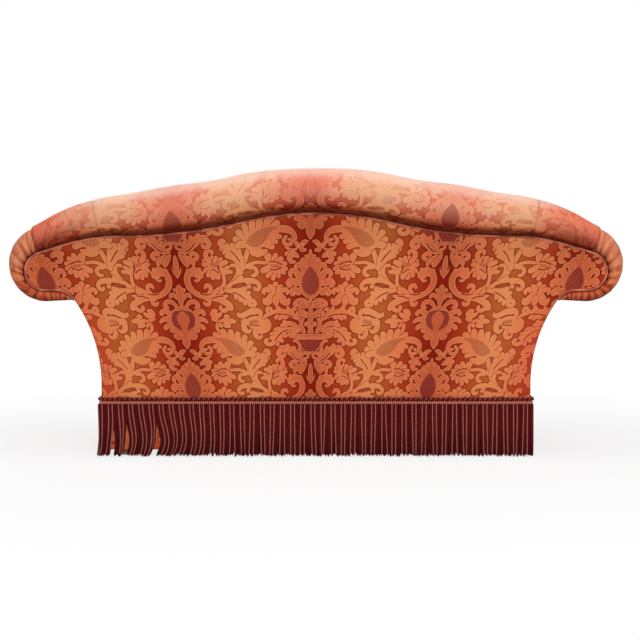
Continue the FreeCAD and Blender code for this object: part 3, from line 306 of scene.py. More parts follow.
MOTIFS = {
    "stem": {
        "joins": [
            [(262, 252, 6), (240, 262, 6), (222, 272, 6), (206, 284, 8), (194, 294, 8), (182, 314, 8),
             (172, 334, 6)], [(172, 334, 6), (164, 354, 6), (157, 372, 5)],
            [(172, 324, 5), (160, 332, 4.5), (140, 340, 4), (116, 339, 4)],
            [(202, 332, 4), (194, 333, 4), (188, 328, 4), (186, 316, 5), (188, 304, 6)],
            [(156, 326, 4), (144, 326, 4.5), (138, 316, 5), (144, 307, 4.5), (151, 307, 3)],
            [(244, 258, 5), (234, 272, 5), (226, 288, 4.5), (226, 302, 4)],
        ],
    },
    "rising leaf": {
        "lobes": [
            [(119, 84, 5), (130, 82, 6)], [(126, 75, 5), (138, 74, 7)], [(132, 66, 5), (146, 64, 8)],
            [(136, 94, 5), (138, 84, 6)], [(148, 95, 5), (150, 80, 8)], [(163, 83, 5), (162, 66, 9)],
            [(124, 90, 6), (117, 98, 6), (123, 106, 4.5), (129, 102, 3.5)],
        ],
        "joins": [[(124, 92, 5), (136, 81, 8), (149, 71, 13), (160, 60, 13), (167, 46, 8), (170, 34, 5)]],
        "cuts": [[(142, 80), (154, 67), (164, 52)]],
    },
    "curling leaf": {
        "lobes": [
            [(180, 301, 6), (190, 292, 7)], [(160, 277, 4.5), (164, 288, 6)],
            [(166, 293, 8), (152, 293, 7), (140, 289, 6), (133, 280, 5), (137, 271, 5), (144, 270, 4),
             (147, 275, 3)],
        ],
        "joins": [[(224, 271, 4), (208, 282, 6), (190, 289, 7), (168, 292, 7)]],
        "cuts": [[(206, 279), (188, 285), (170, 287)]],
    },
    "falling leaf": {
        "lobes": [
            [(172, 272, 6), (184, 266, 8)], [(162, 261, 5.5), (174, 256, 8)],
            [(160, 249, 5), (168, 246, 7)], [(197, 248, 5), (194, 260, 7)], [(186, 241, 5), (184, 254, 7)],
            [(174, 233, 5), (174, 246, 7)],
            [(162, 240, 6), (152, 241, 5), (147, 233, 5), (153, 227, 5), (163, 229, 4)],
        ],
        "joins": [[(222, 267, 4), (204, 266, 7), (188, 261, 11), (175, 252, 12), (163, 240, 7)]],
        "cuts": [[(204, 263), (188, 256), (172, 244)]],
    },
    "scroll": {
        "lobes": [
            [(252, 250, 5), (236, 250, 6), (224, 252, 4), (219, 254, 2.5)],
            [(262, 254, 5), (250, 264, 5.5), (240, 273, 3.5)],
            [(268, 260, 4), (261, 270, 4.5), (263, 279, 5), (271, 281, 5), (276, 275, 3.5)],
            [(276, 246, 5), (268, 239, 4), (270, 231, 4.5), (278, 230, 4.5), (282, 235, 3.5)],
            [(316, 320, 4)], [(299, 326, 5), (302, 318, 7)], [(286, 322, 5), (292, 314, 6)],
            [(278, 313, 4), (286, 307, 5)],
        ],
        "joins": [
            [(282, 304, 5), (288, 314, 7), (300, 318, 8), (312, 314, 8), (319, 302, 8), (320, 290, 8),
             (317, 277, 8)],
            [(317, 277, 8), (308, 265, 7), (294, 256, 7), (278, 252, 8), (262, 249, 8), (246, 245, 7)],
            [(246, 245, 7), (230, 238, 8), (217, 230, 8), (212, 220, 6), (213, 216, 3)],
            [(219, 222, 5), (226, 216, 5.5), (234, 214, 5.5), (241, 220, 4.5), (239, 226, 3)],
            [(304, 308, 4), (292, 308, 4), (287, 300, 3), (294, 292, 3), (300, 294, 2.5)], [(295, 302, 3)],
        ],
        "cuts": [[(290, 259), (276, 256), (262, 258)], [(262, 245), (246, 251), (230, 253)]],
    },
    "round flower": {
        "lobes": [
            [(94, 63, 4.5), (96, 54, 6)], [(104, 62, 5), (102, 52, 6)], [(116, 58, 5), (112, 48, 7)],
            [(128, 51, 5.5), (116, 46, 7)], [(133, 38, 4), (122, 30, 6)], [(139, 26, 4.5), (124, 25, 6)],
            [(72, 54, 4.5), (82, 50, 7)], [(71, 45, 5), (82, 42, 8)], [(74, 29, 5.5), (86, 32, 9)],
            [(80, 17, 5.5), (90, 26, 9)], [(92, 11, 6), (96, 24, 9)], [(105, 12, 6), (102, 24, 9)],
            [(86, 54, 6), (79, 64, 6), (80, 75, 5.5), (88, 80, 4.5), (95, 77, 4), (95, 72, 3)],
        ],
        "joins": [[(94, 38, 12)], [(114, 34, 4), (119, 20, 4), (120, 4, 4), (118, -10, 4)]],
        "cuts": [[(107, 22), (98, 30), (90, 32)], [(110, 26), (106, 36)]],
    },
    "fan flower": {
        "lobes": [
            [(236, 65, 9), (242, 52, 9)], [(256, 68, 6), (252, 56, 8)], [(269, 59, 6.5), (260, 50, 8)],
            [(279, 47, 5.5), (266, 44, 8)], [(281, 34, 5), (268, 38, 8)], [(276, 24, 5), (264, 32, 8)],
            [(262, 15, 5), (258, 28, 8)], [(247, 8, 5), (250, 26, 8)], [(233, 15, 5), (242, 30, 8)],
            [(222, 29, 7), (236, 36, 8)],
        ],
        "joins": [[(252, 41, 13)]],
        "cuts": [[(238, 51), (252, 52), (270, 45)], [(240, 34), (254, 31), (268, 36)]],
    },
    "feather": {
        "lobes": [
            [(158, 108, 8), (176, 106, 10)], [(162, 93, 8), (180, 98, 10)],
            [(166, 125, 8), (182, 112, 10)], [(181, 142, 7), (190, 120, 10)],
            [(200, 151, 7), (204, 128, 11)], [(219, 156, 7.5), (220, 134, 11)],
            [(240, 157, 8), (238, 138, 11)], [(262, 149, 7), (254, 138, 10)],
            [(200, 76, 9), (213, 73, 9), (228, 78, 6), (234, 80, 3)], [(247, 90, 7), (236, 96, 9)],
            [(257, 103, 6), (244, 108, 8)], [(267, 115, 5.5), (254, 118, 8)],
            [(278, 92, 1.5), (288, 85, 3), (300, 82, 3.2), (315, 87, 2)],
            [(284, 116, 3), (278, 108, 4), (279, 99, 4), (288, 95, 4), (297, 99, 4.5), (295, 108, 3.5),
             (289, 108, 2.5)],
            [(262, 134, 8), (282, 134, 9), (298, 127, 7), (305, 114, 5.5), (302, 103, 5)],
        ],
        "joins": [
            [(184, 98, 11), (198, 91, 11), (212, 87, 8)],
            [(190, 107, 12), (206, 112, 18), (224, 120, 17), (246, 130, 11), (266, 135, 8)],
            [(226, 98, 9), (240, 111, 10), (254, 124, 9)],
        ],
    },
    "trefoils": {
        "lobes": [
            [(309, 99, 5), (314, 90, 5)], [(336, 104, 3), (328, 101, 6), (322, 93, 6)],
            [(330, 82, 4), (323, 82, 5), (321, 90, 5)], [(284, 72, 5.5), (294, 76, 5)],
            [(313, 64, 2.5), (307, 69, 6), (299, 72, 7)],
            [(294, 70, 6), (291, 60, 6.5), (295, 52, 5), (303, 52, 3.5)],
        ],
        "joins": [[(298, 74, 5), (300, 84, 2)], [(320, 92, 6)], [(294, 68, 7)]],
    },
    "tulip": {
        "lobes": [
            [(160, 172, 5), (158, 162, 4)],
            [(146, 166, 9), (151, 150, 7), (145, 140, 5), (136, 142, 4), (134, 148, 3)],
            [(132, 190, 6), (119, 184, 9), (115, 173, 8), (122, 164, 9), (136, 161, 10)],
            [(180, 194, 4), (188, 184, 3.5)],
            [(160, 190, 8), (176, 188, 7), (182, 176, 7), (179, 162, 7), (170, 156, 4.5), (164, 161, 3)],
            [(134, 198, 5), (136, 210, 7), (148, 214, 8), (162, 211, 8), (176, 204, 7), (188, 200, 6),
             (196, 203, 3), (194, 208, 2)],
        ],
        "joins": [[(136, 178, 15), (150, 184, 16), (164, 184, 12)], [(150, 198, 7)]],
        "cuts": [[(140, 202), (158, 200), (174, 193)], [(140, 174), (152, 174), (166, 176)]],
    },
    "small flower": {
        "lobes": [
            [(226, 196, 8), (225, 186, 7)], [(204, 184, 3), (214, 186, 7), (224, 184, 7)],
            [(222, 172, 5), (231, 175, 6.5), (228, 184, 6)],
            [(236, 188, 4), (246, 184, 4), (254, 174, 4.5), (254, 164, 4), (250, 155, 2.5)],
            [(243, 172, 4), (248, 178, 3)], [(241, 206, 3.5), (248, 201, 6)],
            [(252, 214, 3.5), (260, 213, 5), (264, 204, 6), (258, 198, 7)],
            [(264, 192, 4.5), (256, 190, 6)],
        ],
        "joins": [[(224, 184, 8)], [(252, 202, 6), (258, 194, 6)]],
    },
    "high spray": {
        "lobes": [
            [(49, 211, 3.5), (45, 219, 4.5), (40, 217, 3.5)],
            [(52, 206, 5), (57, 216, 4.5), (61, 223, 3.5)],
            [(104, 212, 3.5), (107, 220, 4), (115, 221, 4), (117, 213, 4)],
            [(66, 197, 6), (78, 198, 5.5), (84, 192, 4.5)], [(88, 206, 5), (94, 195, 4.5)],
        ],
        "joins": [
            [(20, 180, 3), (34, 194, 6), (50, 203, 8), (70, 210, 7.5), (88, 211, 6.5), (104, 208, 5.5),
             (118, 202, 4.5), (128, 194, 2.5)], [(72, 211, 5), (85, 219, 5), (91, 231, 4.5)],
        ],
        "cuts": [[(46, 197), (64, 203), (86, 205), (100, 203)]],
    },
    "middle spray": {
        "lobes": [[(71, 184, 5), (68, 178, 5)], [(77, 175, 5), (68, 174, 5)]],
        "joins": [[(30, 158, 3), (36, 168, 5), (46, 177, 5.5), (60, 180, 6), (70, 179, 5)]],
    },
    "low spray": {
        "lobes": [
            [(98, 161, 3.5), (90, 165, 5), (80, 162, 6)], [(107, 150, 5), (94, 152, 7)],
            [(109, 140, 4.5), (98, 142, 7)], [(69, 146, 5.5), (80, 150, 6)],
            [(79, 132, 5.5), (88, 140, 7)], [(92, 123, 5.5), (97, 134, 6)],
            [(98, 132, 6), (106, 124, 5.5), (117, 122, 5), (125, 129, 4.5), (121, 136, 3.5),
             (117, 134, 2.5)],
        ],
        "joins": [
            [(36, 156, 4), (50, 164, 5), (64, 163, 6), (78, 156, 9), (88, 147, 10), (96, 137, 8),
             (103, 128, 5)],
        ],
        "cuts": [[(62, 163), (78, 155), (90, 144), (98, 131)]],
    },
    "bouquet": {
        "lobes": [
            [(91, 284, 7), (91, 272, 6)], [(78, 277, 6.5), (86, 268, 6)], [(106, 277, 7), (97, 268, 6)],
            [(84, 258, 5), (76, 267, 6), (65, 270, 5.5), (59, 264, 4.5), (62, 259, 3)],
            [(102, 258, 5), (109, 267, 6), (118, 271, 5), (124, 265, 4.5), (121, 259, 3)],
            [(57, 244, 3.5), (60, 235, 5.5), (69, 237, 8), (75, 246, 10), (83, 256, 7), (88, 264, 3)],
            [(123, 245, 3.5), (121, 236, 5.5), (113, 237, 8), (107, 246, 10), (100, 257, 7), (95, 264, 3)],
            [(92, 232, 5), (92, 242, 8.5), (92, 254, 2.5)],
        ],
        "joins": [[(84, 270, 4)], [(99, 270, 4)]],
    },
    "pomegranate": {
        "lobes": [
            [(4, 350, 5), (11, 357, 3.5)],
            [(8, 334, 8), (12, 346, 6), (19, 348, 4.5), (23, 341, 4.5), (19, 336, 3)],
            [(16, 322, 9), (23, 333, 7), (32, 334, 6), (38, 327, 5), (34, 321, 3.5)],
            [(30, 306, 9), (38, 317, 7), (47, 319, 6), (53, 311, 5), (50, 304, 3.5)],
            [(38, 288, 9), (50, 294, 7), (59, 288, 5.5), (56, 280, 4.5), (51, 280, 3)],
            [(32, 264, 9), (42, 270, 7), (50, 264, 5.5), (47, 257, 4.5), (43, 258, 3)],
        ],
        "joins": [
            [(0, 254, 10), (0, 264, 19), (0, 280, 29), (0, 294, 28), (0, 308, 20), (0, 322, 12),
             (0, 336, 8)], [(0, 336, 10), (0, 350, 8), (0, 362, 5), (0, 372, 2)],
        ],
    },
    "acanthus": {
        "lobes": [
            [(0, 250, 4), (0, 232, 5), (0, 212, 6)], [(30, 221, 4), (20, 222, 6)],
            [(10, 228, 7), (20, 230, 8), (30, 230, 5)],
            [(7, 236, 3), (16, 242, 4), (27, 243, 4.5), (37, 239, 4.5), (42, 232, 4.5), (38, 227, 3.5),
             (34, 230, 2.5)], [(24, 196, 4), (14, 197, 5)], [(8, 199, 5), (18, 203, 6), (26, 204, 4)],
            [(8, 205, 3), (17, 211, 4), (26, 212, 4), (34, 208, 4), (36, 203, 3), (31, 201, 2.5)],
        ],
    },
    "volutes": {
        "lobes": [
            [(0, 204, 5), (0, 190, 7), (0, 166, 7), (0, 150, 8)],
            [(4, 172, 5), (10, 181, 4), (14, 175, 3)],
            [(18, 148, 6), (19, 160, 5), (25, 172, 5), (26, 184, 4), (20, 190, 3.5)],
        ],
    },
    "vase": {
        "lobes": [
            [(0, 118, 12), (14, 118, 14)], [(0, 102, 8), (12, 104, 8)],
            [(34, 96, 6), (31, 106, 4.5), (30, 115, 4), (33, 125, 4), (39, 131, 3.5), (46, 131, 3)],
            [(0, 138, 2.6), (34, 138, 2.6), (48, 140, 3), (56, 145, 3)],
            [(0, 146, 4.5), (36, 146, 4.5), (52, 145, 5.5), (57, 151, 5), (51, 157, 4), (44, 154, 3)],
        ],
    },
    "vase foot": {
        "lobes": [
            [(28, 88, 8), (27, 99, 5)], [(42, 94, 8), (45, 106, 5.5), (46, 114, 4)],
            [(56, 98, 8), (69, 110, 6.5), (79, 113, 6), (88, 112, 3)],
            [(70, 106, 6), (84, 105, 7), (91, 96, 5.5), (85, 89, 5), (76, 89, 5), (72, 94, 3.5)],
            [(20, 76, 4), (25, 85, 3.5), (22, 94, 3.5), (13, 97, 3.5), (6, 91, 3), (9, 84, 3),
             (15, 84, 2.5)],
        ],
        "joins": [[(12, 74, 3), (28, 79, 8), (40, 88, 10), (50, 98, 9), (58, 109, 7), (65, 120, 4)]],
        "cuts": [[(28, 76), (42, 84), (54, 98)]],
    },
    "palmette": {
        "lobes": [
            [(40, 60, 3), (52, 58, 4.5), (57, 66, 5), (50, 73, 5), (42, 71, 4.5), (41, 66, 3)],
            [(22, 67, 3), (36, 57, 7), (44, 49, 5.5), (46, 44, 3)],
            [(12, 68, 3), (20, 58, 7), (27, 48, 7.5), (28, 42, 4.5)],
            [(0, 65, 3), (0, 50, 8), (0, 36, 12), (0, 26, 10), (0, 16, 4), (0, 11, 2)],
        ],
        "cuts": [[(7, 58), (9, 44), (8, 30)]],
    },
    "heart": {
        "lobes": [
            [(340, 240, 5), (332, 252, 5), (322, 256, 5), (317, 250, 3.5)], [(334, 268, 6), (344, 264, 7)],
            [(344, 222, 2), (344, 236, 6), (344, 250, 8), (344, 268, 9), (344, 278, 5)],
            [(331, 225, 4), (322, 235, 5.5), (310, 238, 6), (301, 232, 5.5), (300, 224, 4.5),
             (307, 222, 3.5)],
            [(314, 202, 9), (302, 211, 6.5), (292, 212, 6), (286, 206, 4.5), (289, 202, 2.5)],
            [(312, 188, 9), (298, 191, 7), (288, 189, 5.5), (281, 183, 3.5)],
            [(316, 172, 9), (302, 173, 7), (292, 168, 5.5), (292, 164, 3.5)],
            [(326, 160, 8), (312, 158, 5), (306, 160, 3.5)], [(334, 150, 6), (324, 142, 8), (317, 145, 6)],
            [(344, 152, 8), (344, 139, 10), (344, 128, 11), (344, 117, 6), (344, 111, 2.5)],
        ],
        "joins": [[(344, 192, 33)], [(338, 176, 26)], [(344, 160, 16)]],
        "cuts": [[(344, 214), (334, 212), (322, 210)]],
    },
}

NETS = [
    [(0, 329, 0.5), (0, 320, 7), (0, 308, 14), (0, 296, 20), (0, 285, 22), (0, 276, 19), (0, 268, 11),
     (0, 261, 2)], [(0, 128, 7), (22, 128, 7)], [(0, 118, 8), (18, 118, 7)], [(0, 109, 6), (12, 109, 6)],
    [(335, 210, 2.5), (325, 206, 6), (320, 194, 7), (322, 180, 7), (329, 170, 5), (335, 163, 2)],
]

HATCHES = [
    [(192, 101, 8), (206, 105, 16), (218, 114, 16), (231, 125, 11), (246, 134, 5), (262, 138, 2)],
    [(92, 46, 5), (101, 42, 5)], [(246, 42, 4), (262, 40, 4)], [(146, 185, 5), (162, 182, 5)],
]


def draw_damask():
    """Depth inside the figure, the nets and the hatched hearts."""
    figure = np.full((len(UPWARD), len(ACROSS)), OUTSIDE)
    for strokes in MOTIFS.values():
        lobes = strokes.get("lobes", [])
        veins = [[(u, v, VEIN) for u, v in cut] for cut in strokes.get("cuts", [])]
        motif = np.full_like(figure, OUTSIDE)
        for lobe in lobes:
            shape = depth_in([lobe])
            motif = np.maximum(shape, np.minimum(motif, -shape - GROOVE))
        motif = np.maximum(motif, depth_in(strokes.get("joins", [])))
        outer = np.maximum(motif, depth_in(lobes))
        figure = np.maximum(np.minimum(motif, -depth_in(veins)), np.minimum(figure, -outer - OUTLINE))
    return figure, depth_in(NETS), depth_in(HATCHES)


DAMASK = draw_damask()


def damask_at(cloth):
    """Depth inside figure, net and hatch where the cloth lies, in millimetres."""
    u = np.abs((cloth[:, 0] * 1000 + AXIS_GAP) % (2 * AXIS_GAP) - AXIS_GAP)
    v = cloth[:, 1] * 1000 % (2 * HALF_DROP)
    lower = v >= HALF_DROP
    u = np.where(lower, AXIS_GAP - u, u) / DRAWING_STEP
    v = np.where(lower, v - HALF_DROP, v) / DRAWING_STEP
    i = np.clip(v.astype(int), 0, len(UPWARD) - 2)
    j = np.clip(u.astype(int), 0, len(ACROSS) - 2)
    b = np.clip(v - i, 0, 1)
    a = np.clip(u - j, 0, 1)
    fields = []
    for field in DAMASK:
        low = field[i, j] * (1 - a) + field[i, j + 1] * a
        high = field[i + 1, j] * (1 - a) + field[i + 1, j + 1] * a
        fields.append(np.maximum(low * (1 - b) + high * b, FURTHEST_OUT))
    return np.column_stack(fields)


# Meshes


def together(*parts):
    """Coordinates or marks as one array, each spread to the same shape."""
    return np.stack(np.broadcast_arrays(*parts), -1)


def placed(name, data):
    """A new object in the scene."""
    made = bpy.data.objects.new(name, data)
    bpy.context.scene.collection.objects.link(made)
    return made


def mesh_piece(name, points, faces, material):
    mesh = bpy.data.meshes.new(name)
    mesh.from_pydata(np.asarray(points, float).tolist(), [], faces)
    mesh.polygons.foreach_set("use_smooth", np.ones(len(mesh.polygons), bool))
    mesh.materials.append(material)
    return placed(name, mesh)


def note(mesh, name, marks):
    """Three marks on each point, for the finish to read."""
    made = mesh.attributes.new(name, "FLOAT_VECTOR", "POINT")
    made.data.foreach_set("vector", marks.astype(np.float32).ravel())


def lay_flat(mesh, cloth):
    """Where each point lies on the flat cloth, in metres."""
    loops = np.empty(len(mesh.loops), np.int32)
    mesh.loops.foreach_get("vertex_index", loops)
    mesh.uv_layers.new(name="cloth").uv.foreach_set("vector", cloth[loops].astype(np.float32).ravel())


def lay_cloth(piece, cloth, fade=0.0, crease=0.0, blush=0.0):
    """Lays damask on the piece, faded and lightened by painted light, darkened by shade painted into its
    creases, seams and shaded places, and reddened, by as much as is given.
    """
    lay_flat(piece.data, cloth)
    note(piece.data, "damask", damask_at(cloth))
    # This attribute holds the fading, which also paints light and a highlight, the painted shade, and the
    # reddening.
    note(piece.data, "fade_blush_and_painted_light", np.zeros((len(cloth), 3)) + together(fade, crease, blush))


def grid_faces(rows, columns, flip=False):
    """Quads between rows and columns of points."""
    index = np.arange(rows * columns).reshape(rows, columns)
    corners = [index[:-1, :-1], index[:-1, 1:], index[1:, 1:], index[1:, :-1]]
    if flip:
        corners = corners[::-1]
    return np.stack([corner.ravel() for corner in corners], 1)


def grid_piece(name, points, cloth, material, flip=False, **fade_blush_and_painted_light):
    """A piece of rows and columns of points, with its cloth, and its fading, reddening and painted light and
    shade at each.
    """
    size = points.shape[:2]
    piece = mesh_piece(name, points.reshape(-1, 3), grid_faces(*size, flip).tolist(), material)
    spread_marks = {kind: np.broadcast_to(marks, size).ravel() for kind, marks in fade_blush_and_painted_light.items()}
    lay_cloth(piece, cloth.reshape(-1, 2), **spread_marks)
    return piece


def inside(points, outline):
    """Which points lie within a closed outline."""
    found = np.zeros(len(points), bool)
    for (x0, z0), (x1, z1) in zip(outline, np.roll(outline, -1, axis=0)):
        if z0 != z1:
            crosses = (z0 > points[:, 1]) != (z1 > points[:, 1])
            found ^= crosses & (points[:, 0] < x0 + (points[:, 1] - z0) * (x1 - x0) / (z1 - z0))
    return found


def nearest(points, outline):
    """The outline's nearest point to each point, and how far it is."""
    batch = 2000
    best = np.empty_like(points)
    for start in range(0, len(points), batch):
        part = points[start:start + batch]
        apart = ((part[:, None] - outline[None]) ** 2).sum(2)
        best[start:start + batch] = outline[apart.argmin(1)]
    return best, np.linalg.norm(points - best, axis=1)


def panel(outline, step):
    """Square mesh of a flat panel whose rim follows the outline: points, faces and distance from the rim."""
    low = outline.min(0) - step
    count = np.ceil((outline.max(0) - low) / step).astype(int) + 1
    x, z = np.meshgrid(low[0] + step * np.arange(count[0]), low[1] + step * np.arange(count[1]))
    points = np.column_stack([x.ravel(), z.ravel()])
    faces = grid_faces(count[1], count[0])
    closed = np.vstack([outline, outline[:1]])
    coarse, fine = stepped(closed, 0.006)[:-1], stepped(closed, 0.0005)[:-1]
    faces = faces[inside(points[faces].mean(1), coarse)]
    used, faces = np.unique(faces, return_inverse=True)
    faces = faces.reshape(-1, 4)
    points = points[used]
    edges = np.sort(np.vstack([faces[:, [k, (k + 1) % 4]] for k in range(4)]), axis=1)
    edges, uses = np.unique(edges, axis=0, return_counts=True)
    rim = np.unique(edges[uses == 1])
    points[rim] = nearest(points[rim], fine)[0]
    return points, faces, nearest(points, stepped(closed, 0.004))[1]


def tube(centre, side, up, radius, sides):
    """Rings of points round a line; at each point, side and up are square to it and to each other."""
    angle = np.linspace(0, 2 * np.pi, sides + 1)[:, None]
    spoke = np.cos(angle) * side[:, None] + np.sin(angle) * np.array(up)
    return centre[:, None] + radius * spoke


# Finishes


def paint(red, green, blue):
    """A screen colour from 0 to 255 as the linear colour that a shader takes."""
    shares = [value / 255 for value in (red, green, blue)]
    return tuple(s / 12.92 if s < 0.04045 else ((s + 0.055) / 1.055) ** 2.4 for s in shares) + (1,)


class Nodes:
    """A shader, built node by node."""

    def __init__(self, tree):
        self.tree = tree

    def node(self, kind, inputs=None, **settings):
        made = self.tree.nodes.new("ShaderNode" + kind)
        for key, value in settings.items():
            setattr(made, key, value)
        for socket, value in (inputs or {}).items():
            self.feed(made.inputs[socket], value)
        return made

    def feed(self, socket, value):
        if isinstance(value, bpy.types.NodeSocket):
            self.tree.links.new(value, socket)
        else:
            socket.default_value = value

    def math(self, operation, first, second=0.0, third=0.0):
        return self.node("Math", {0: first, 1: second, 2: third}, operation=operation).outputs[0]

    def times(self, first, second):
        return self.math("MULTIPLY", first, second)

    def stretch(self, place, scales):
        return self.node("VectorMath", {0: place, 1: scales}, operation="MULTIPLY").outputs[0]

    def parts(self, vector):
        return self.node("SeparateXYZ", {0: vector}).outputs

    def mix(self, share, first, second):
        return self.node("Mix", {0: share, 6: first, 7: second}, data_type="RGBA").outputs[2]

    def blend(self, value, low, high, at_low=0.0, at_high=1.0):
        """The value eased from one number to another between two limits."""
        limits = {"Value": value, "From Min": low, "From Max": high, "To Min": at_low, "To Max": at_high}
        return self.node("MapRange", limits, interpolation_type="SMOOTHSTEP").outputs[0]

    def noise(self, place, scale, detail=2.0):
        return self.node("TexNoise", {"Vector": place, "Scale": scale, "Detail": detail}).outputs["Fac"]

    def wave(self, place, pitch, sharpness=1.0):
        """Ridges across a coordinate, from 0 to 1."""
        turned = self.times(place, 2 * math.pi / pitch)
        ridge = self.math("MULTIPLY_ADD", self.math("SINE", turned), 0.5, 0.5)
        return self.math("POWER", ridge, sharpness)

    def seen(self):
        """1 for rays from the camera, from mirrors and through glass, else 0."""
        ray = self.node("LightPath").outputs
        clear = self.math("MAXIMUM", ray["Is Glossy Ray"], ray["Is Transmission Ray"])
        return self.math("MAXIMUM", ray["Is Camera Ray"], clear)

    def give(self, output, share, first, second):
        """Sends two shaders to the tree's output, mixed."""
        both = self.node("MixShader", {0: share, 1: first, 2: second}).outputs[0]
        self.feed(self.tree.nodes[output].inputs["Surface"], both)


class Finish(Nodes):
    """A material on the Principled shader."""

    def __init__(self, name, **constants):
        self.material = bpy.data.materials.new(name)
        self.material.use_nodes = True
        super().__init__(self.material.node_tree)
        self.surface = self.tree.nodes["Principled BSDF"]
        self.show(**constants)

    def show(self, **values):
        for socket, value in values.items():
            self.feed(self.surface.inputs[socket.replace("_", " ")], value)

    def bump(self, height, distance, strength):
        limits = {"Height": height, "Distance": distance, "Strength": strength}
        self.show(Normal=self.node("Bump", limits).outputs[0])

    def place(self):
        return self.node("TexCoord").outputs["Object"]

    def cloth(self):
        return self.node("UVMap", uv_map="cloth").outputs[0]

    def noted(self, name):
        return self.parts(self.node("Attribute", attribute_name=name).outputs["Vector"])


def damask_finish():
    """Silk damask: orange figure on an ombre ground of red and tan, purple nets and hatched hearts."""
    hatch_pitch, net_pitch = 0.0062, 0.0075
    f = Finish("damask", Specular_IOR_Level=0.05)
    cloth = f.cloth()
    x, y = f.parts(cloth)[:2]
    figure, net, hatch = f.noted("damask")
    fade, crease, blush = f.noted("fade_blush_and_painted_light")
    stripe = f.times(f.math("PINGPONG", x, AXIS_GAP / 2000), 2000 / AXIS_GAP)
    red = f.blend(stripe, 0.0, 0.55)
    tan = f.blend(stripe, 0.4, 1.0)
    ground = f.mix(tan, f.mix(red, paint(140, 23, 5), paint(176, 58, 24)), paint(188, 96, 45))
    deep = f.mix(stripe, paint(84, 8, 2), paint(140, 48, 18))
    ground = f.mix(f.blend(figure, -4.0, -0.5, 0.0, 0.85), ground, deep)
    thread = f.mix(tan, f.mix(red, paint(194, 89, 52), paint(226, 118, 73)), paint(231, 144, 89))
    # Lighter towards the figure's edges: partly the figure's own colour, partly a painted highlight along its
    # rims.
    thread = f.mix(f.blend(figure, 0.8, 3.4, 0.45, 0.0), thread, paint(242, 143, 95))
    woven = f.blend(figure, -0.35, 0.35)
    colour = f.mix(woven, ground, thread)
    lines = f.wave(f.math("MULTIPLY_ADD", x, 0.72, f.times(y, 0.7)), hatch_pitch, 0.7)
    hatched = f.times(f.blend(hatch, -0.3, 0.3), f.math("MULTIPLY_ADD", lines, 0.5, 0.15))
    colour = f.mix(hatched, colour, paint(136, 50, 28))
    knots = f.times(f.wave(f.math("ADD", x, y), net_pitch), f.wave(f.math("SUBTRACT", x, y), net_pitch))
    netting = f.mix(f.blend(knots, 0.2, 0.6), paint(112, 22, 26), paint(190, 86, 64))
    colour = f.mix(f.blend(net, -0.35, 0.35), colour, netting)
    slub = f.noise(f.stretch(cloth, (110, 900, 1)), 1.0, 1.0)
    colour = f.mix(f.blend(slub, 0.3, 0.7, 0.0, 0.14), colour, paint(92, 28, 16))
    cloud = f.blend(f.noise(cloth, 5.0), 0.35, 0.7, 0.0, 0.10)
    colour = f.mix(f.times(cloud, woven), colour, paint(220, 130, 80))
    patchy = f.math("MULTIPLY_ADD", f.noise(cloth, 7.0), 1.6, stripe)
    patchy = f.math("MULTIPLY_ADD", f.math("SUBTRACT", woven, 0.6), 0.5, patchy)
    # Pale colours where the cloth is paler: partly real fading, partly painted light where it faces up to the
    # lamps.
    faded_and_lit_colour = f.mix(f.blend(patchy, 0.85, 1.75), paint(228, 130, 105), paint(231, 174, 138))
    held = f.blend(net, -0.35, 0.35, 0.84, 0.42)
    colour = f.mix(f.times(f.math("MINIMUM", fade, 1.0), held), colour, faded_and_lit_colour)
    # Painted highlight: past 1 the mark whitens the cloth, as on the lit crest of the roll.
    colour = f.mix(f.blend(fade, 1.0, 1.7, 0.0, 0.6), colour, paint(238, 206, 190))
    colour = f.mix(f.times(blush, 0.32), colour, paint(232, 86, 58))
    # Painted shade: the cloth darkened in folds, at seams, under overhangs and on the roll's underside.
    colour = f.mix(f.times(crease, 0.93), colour, paint(78, 12, 3))
    f.show(Base_Color=colour, Roughness=f.blend(woven, 0.0, 1.0, 0.66, 0.5))
    f.bump(f.math("MULTIPLY_ADD", slub, 0.5, f.times(woven, 0.5)), 0.0007, 0.6)
    return f.material


def bias_finish():
    """Damask cut on the bias, drawn tight over a cord."""
    f = Finish("bias cut", Roughness=0.58, Specular_IOR_Level=0.12)
    f.show(Sheen_Weight=0.05, Sheen_Tint=paint(255, 190, 160))
    cloth = f.cloth()
    x, y = f.parts(cloth)[:2]
    twill = f.wave(f.math("ADD", x, f.times(y, 1.5)), 0.004)
    patch = f.blend(f.noise(f.stretch(cloth, (22, 60, 1)), 1.0), 0.42, 0.58)
    colour = f.mix(patch, paint(150, 58, 44), paint(212, 120, 92))
    f.show(Base_Color=f.mix(f.times(twill, 0.25), colour, paint(232, 160, 134)))
    f.bump(twill, 0.0004, 0.5)
    return f.material


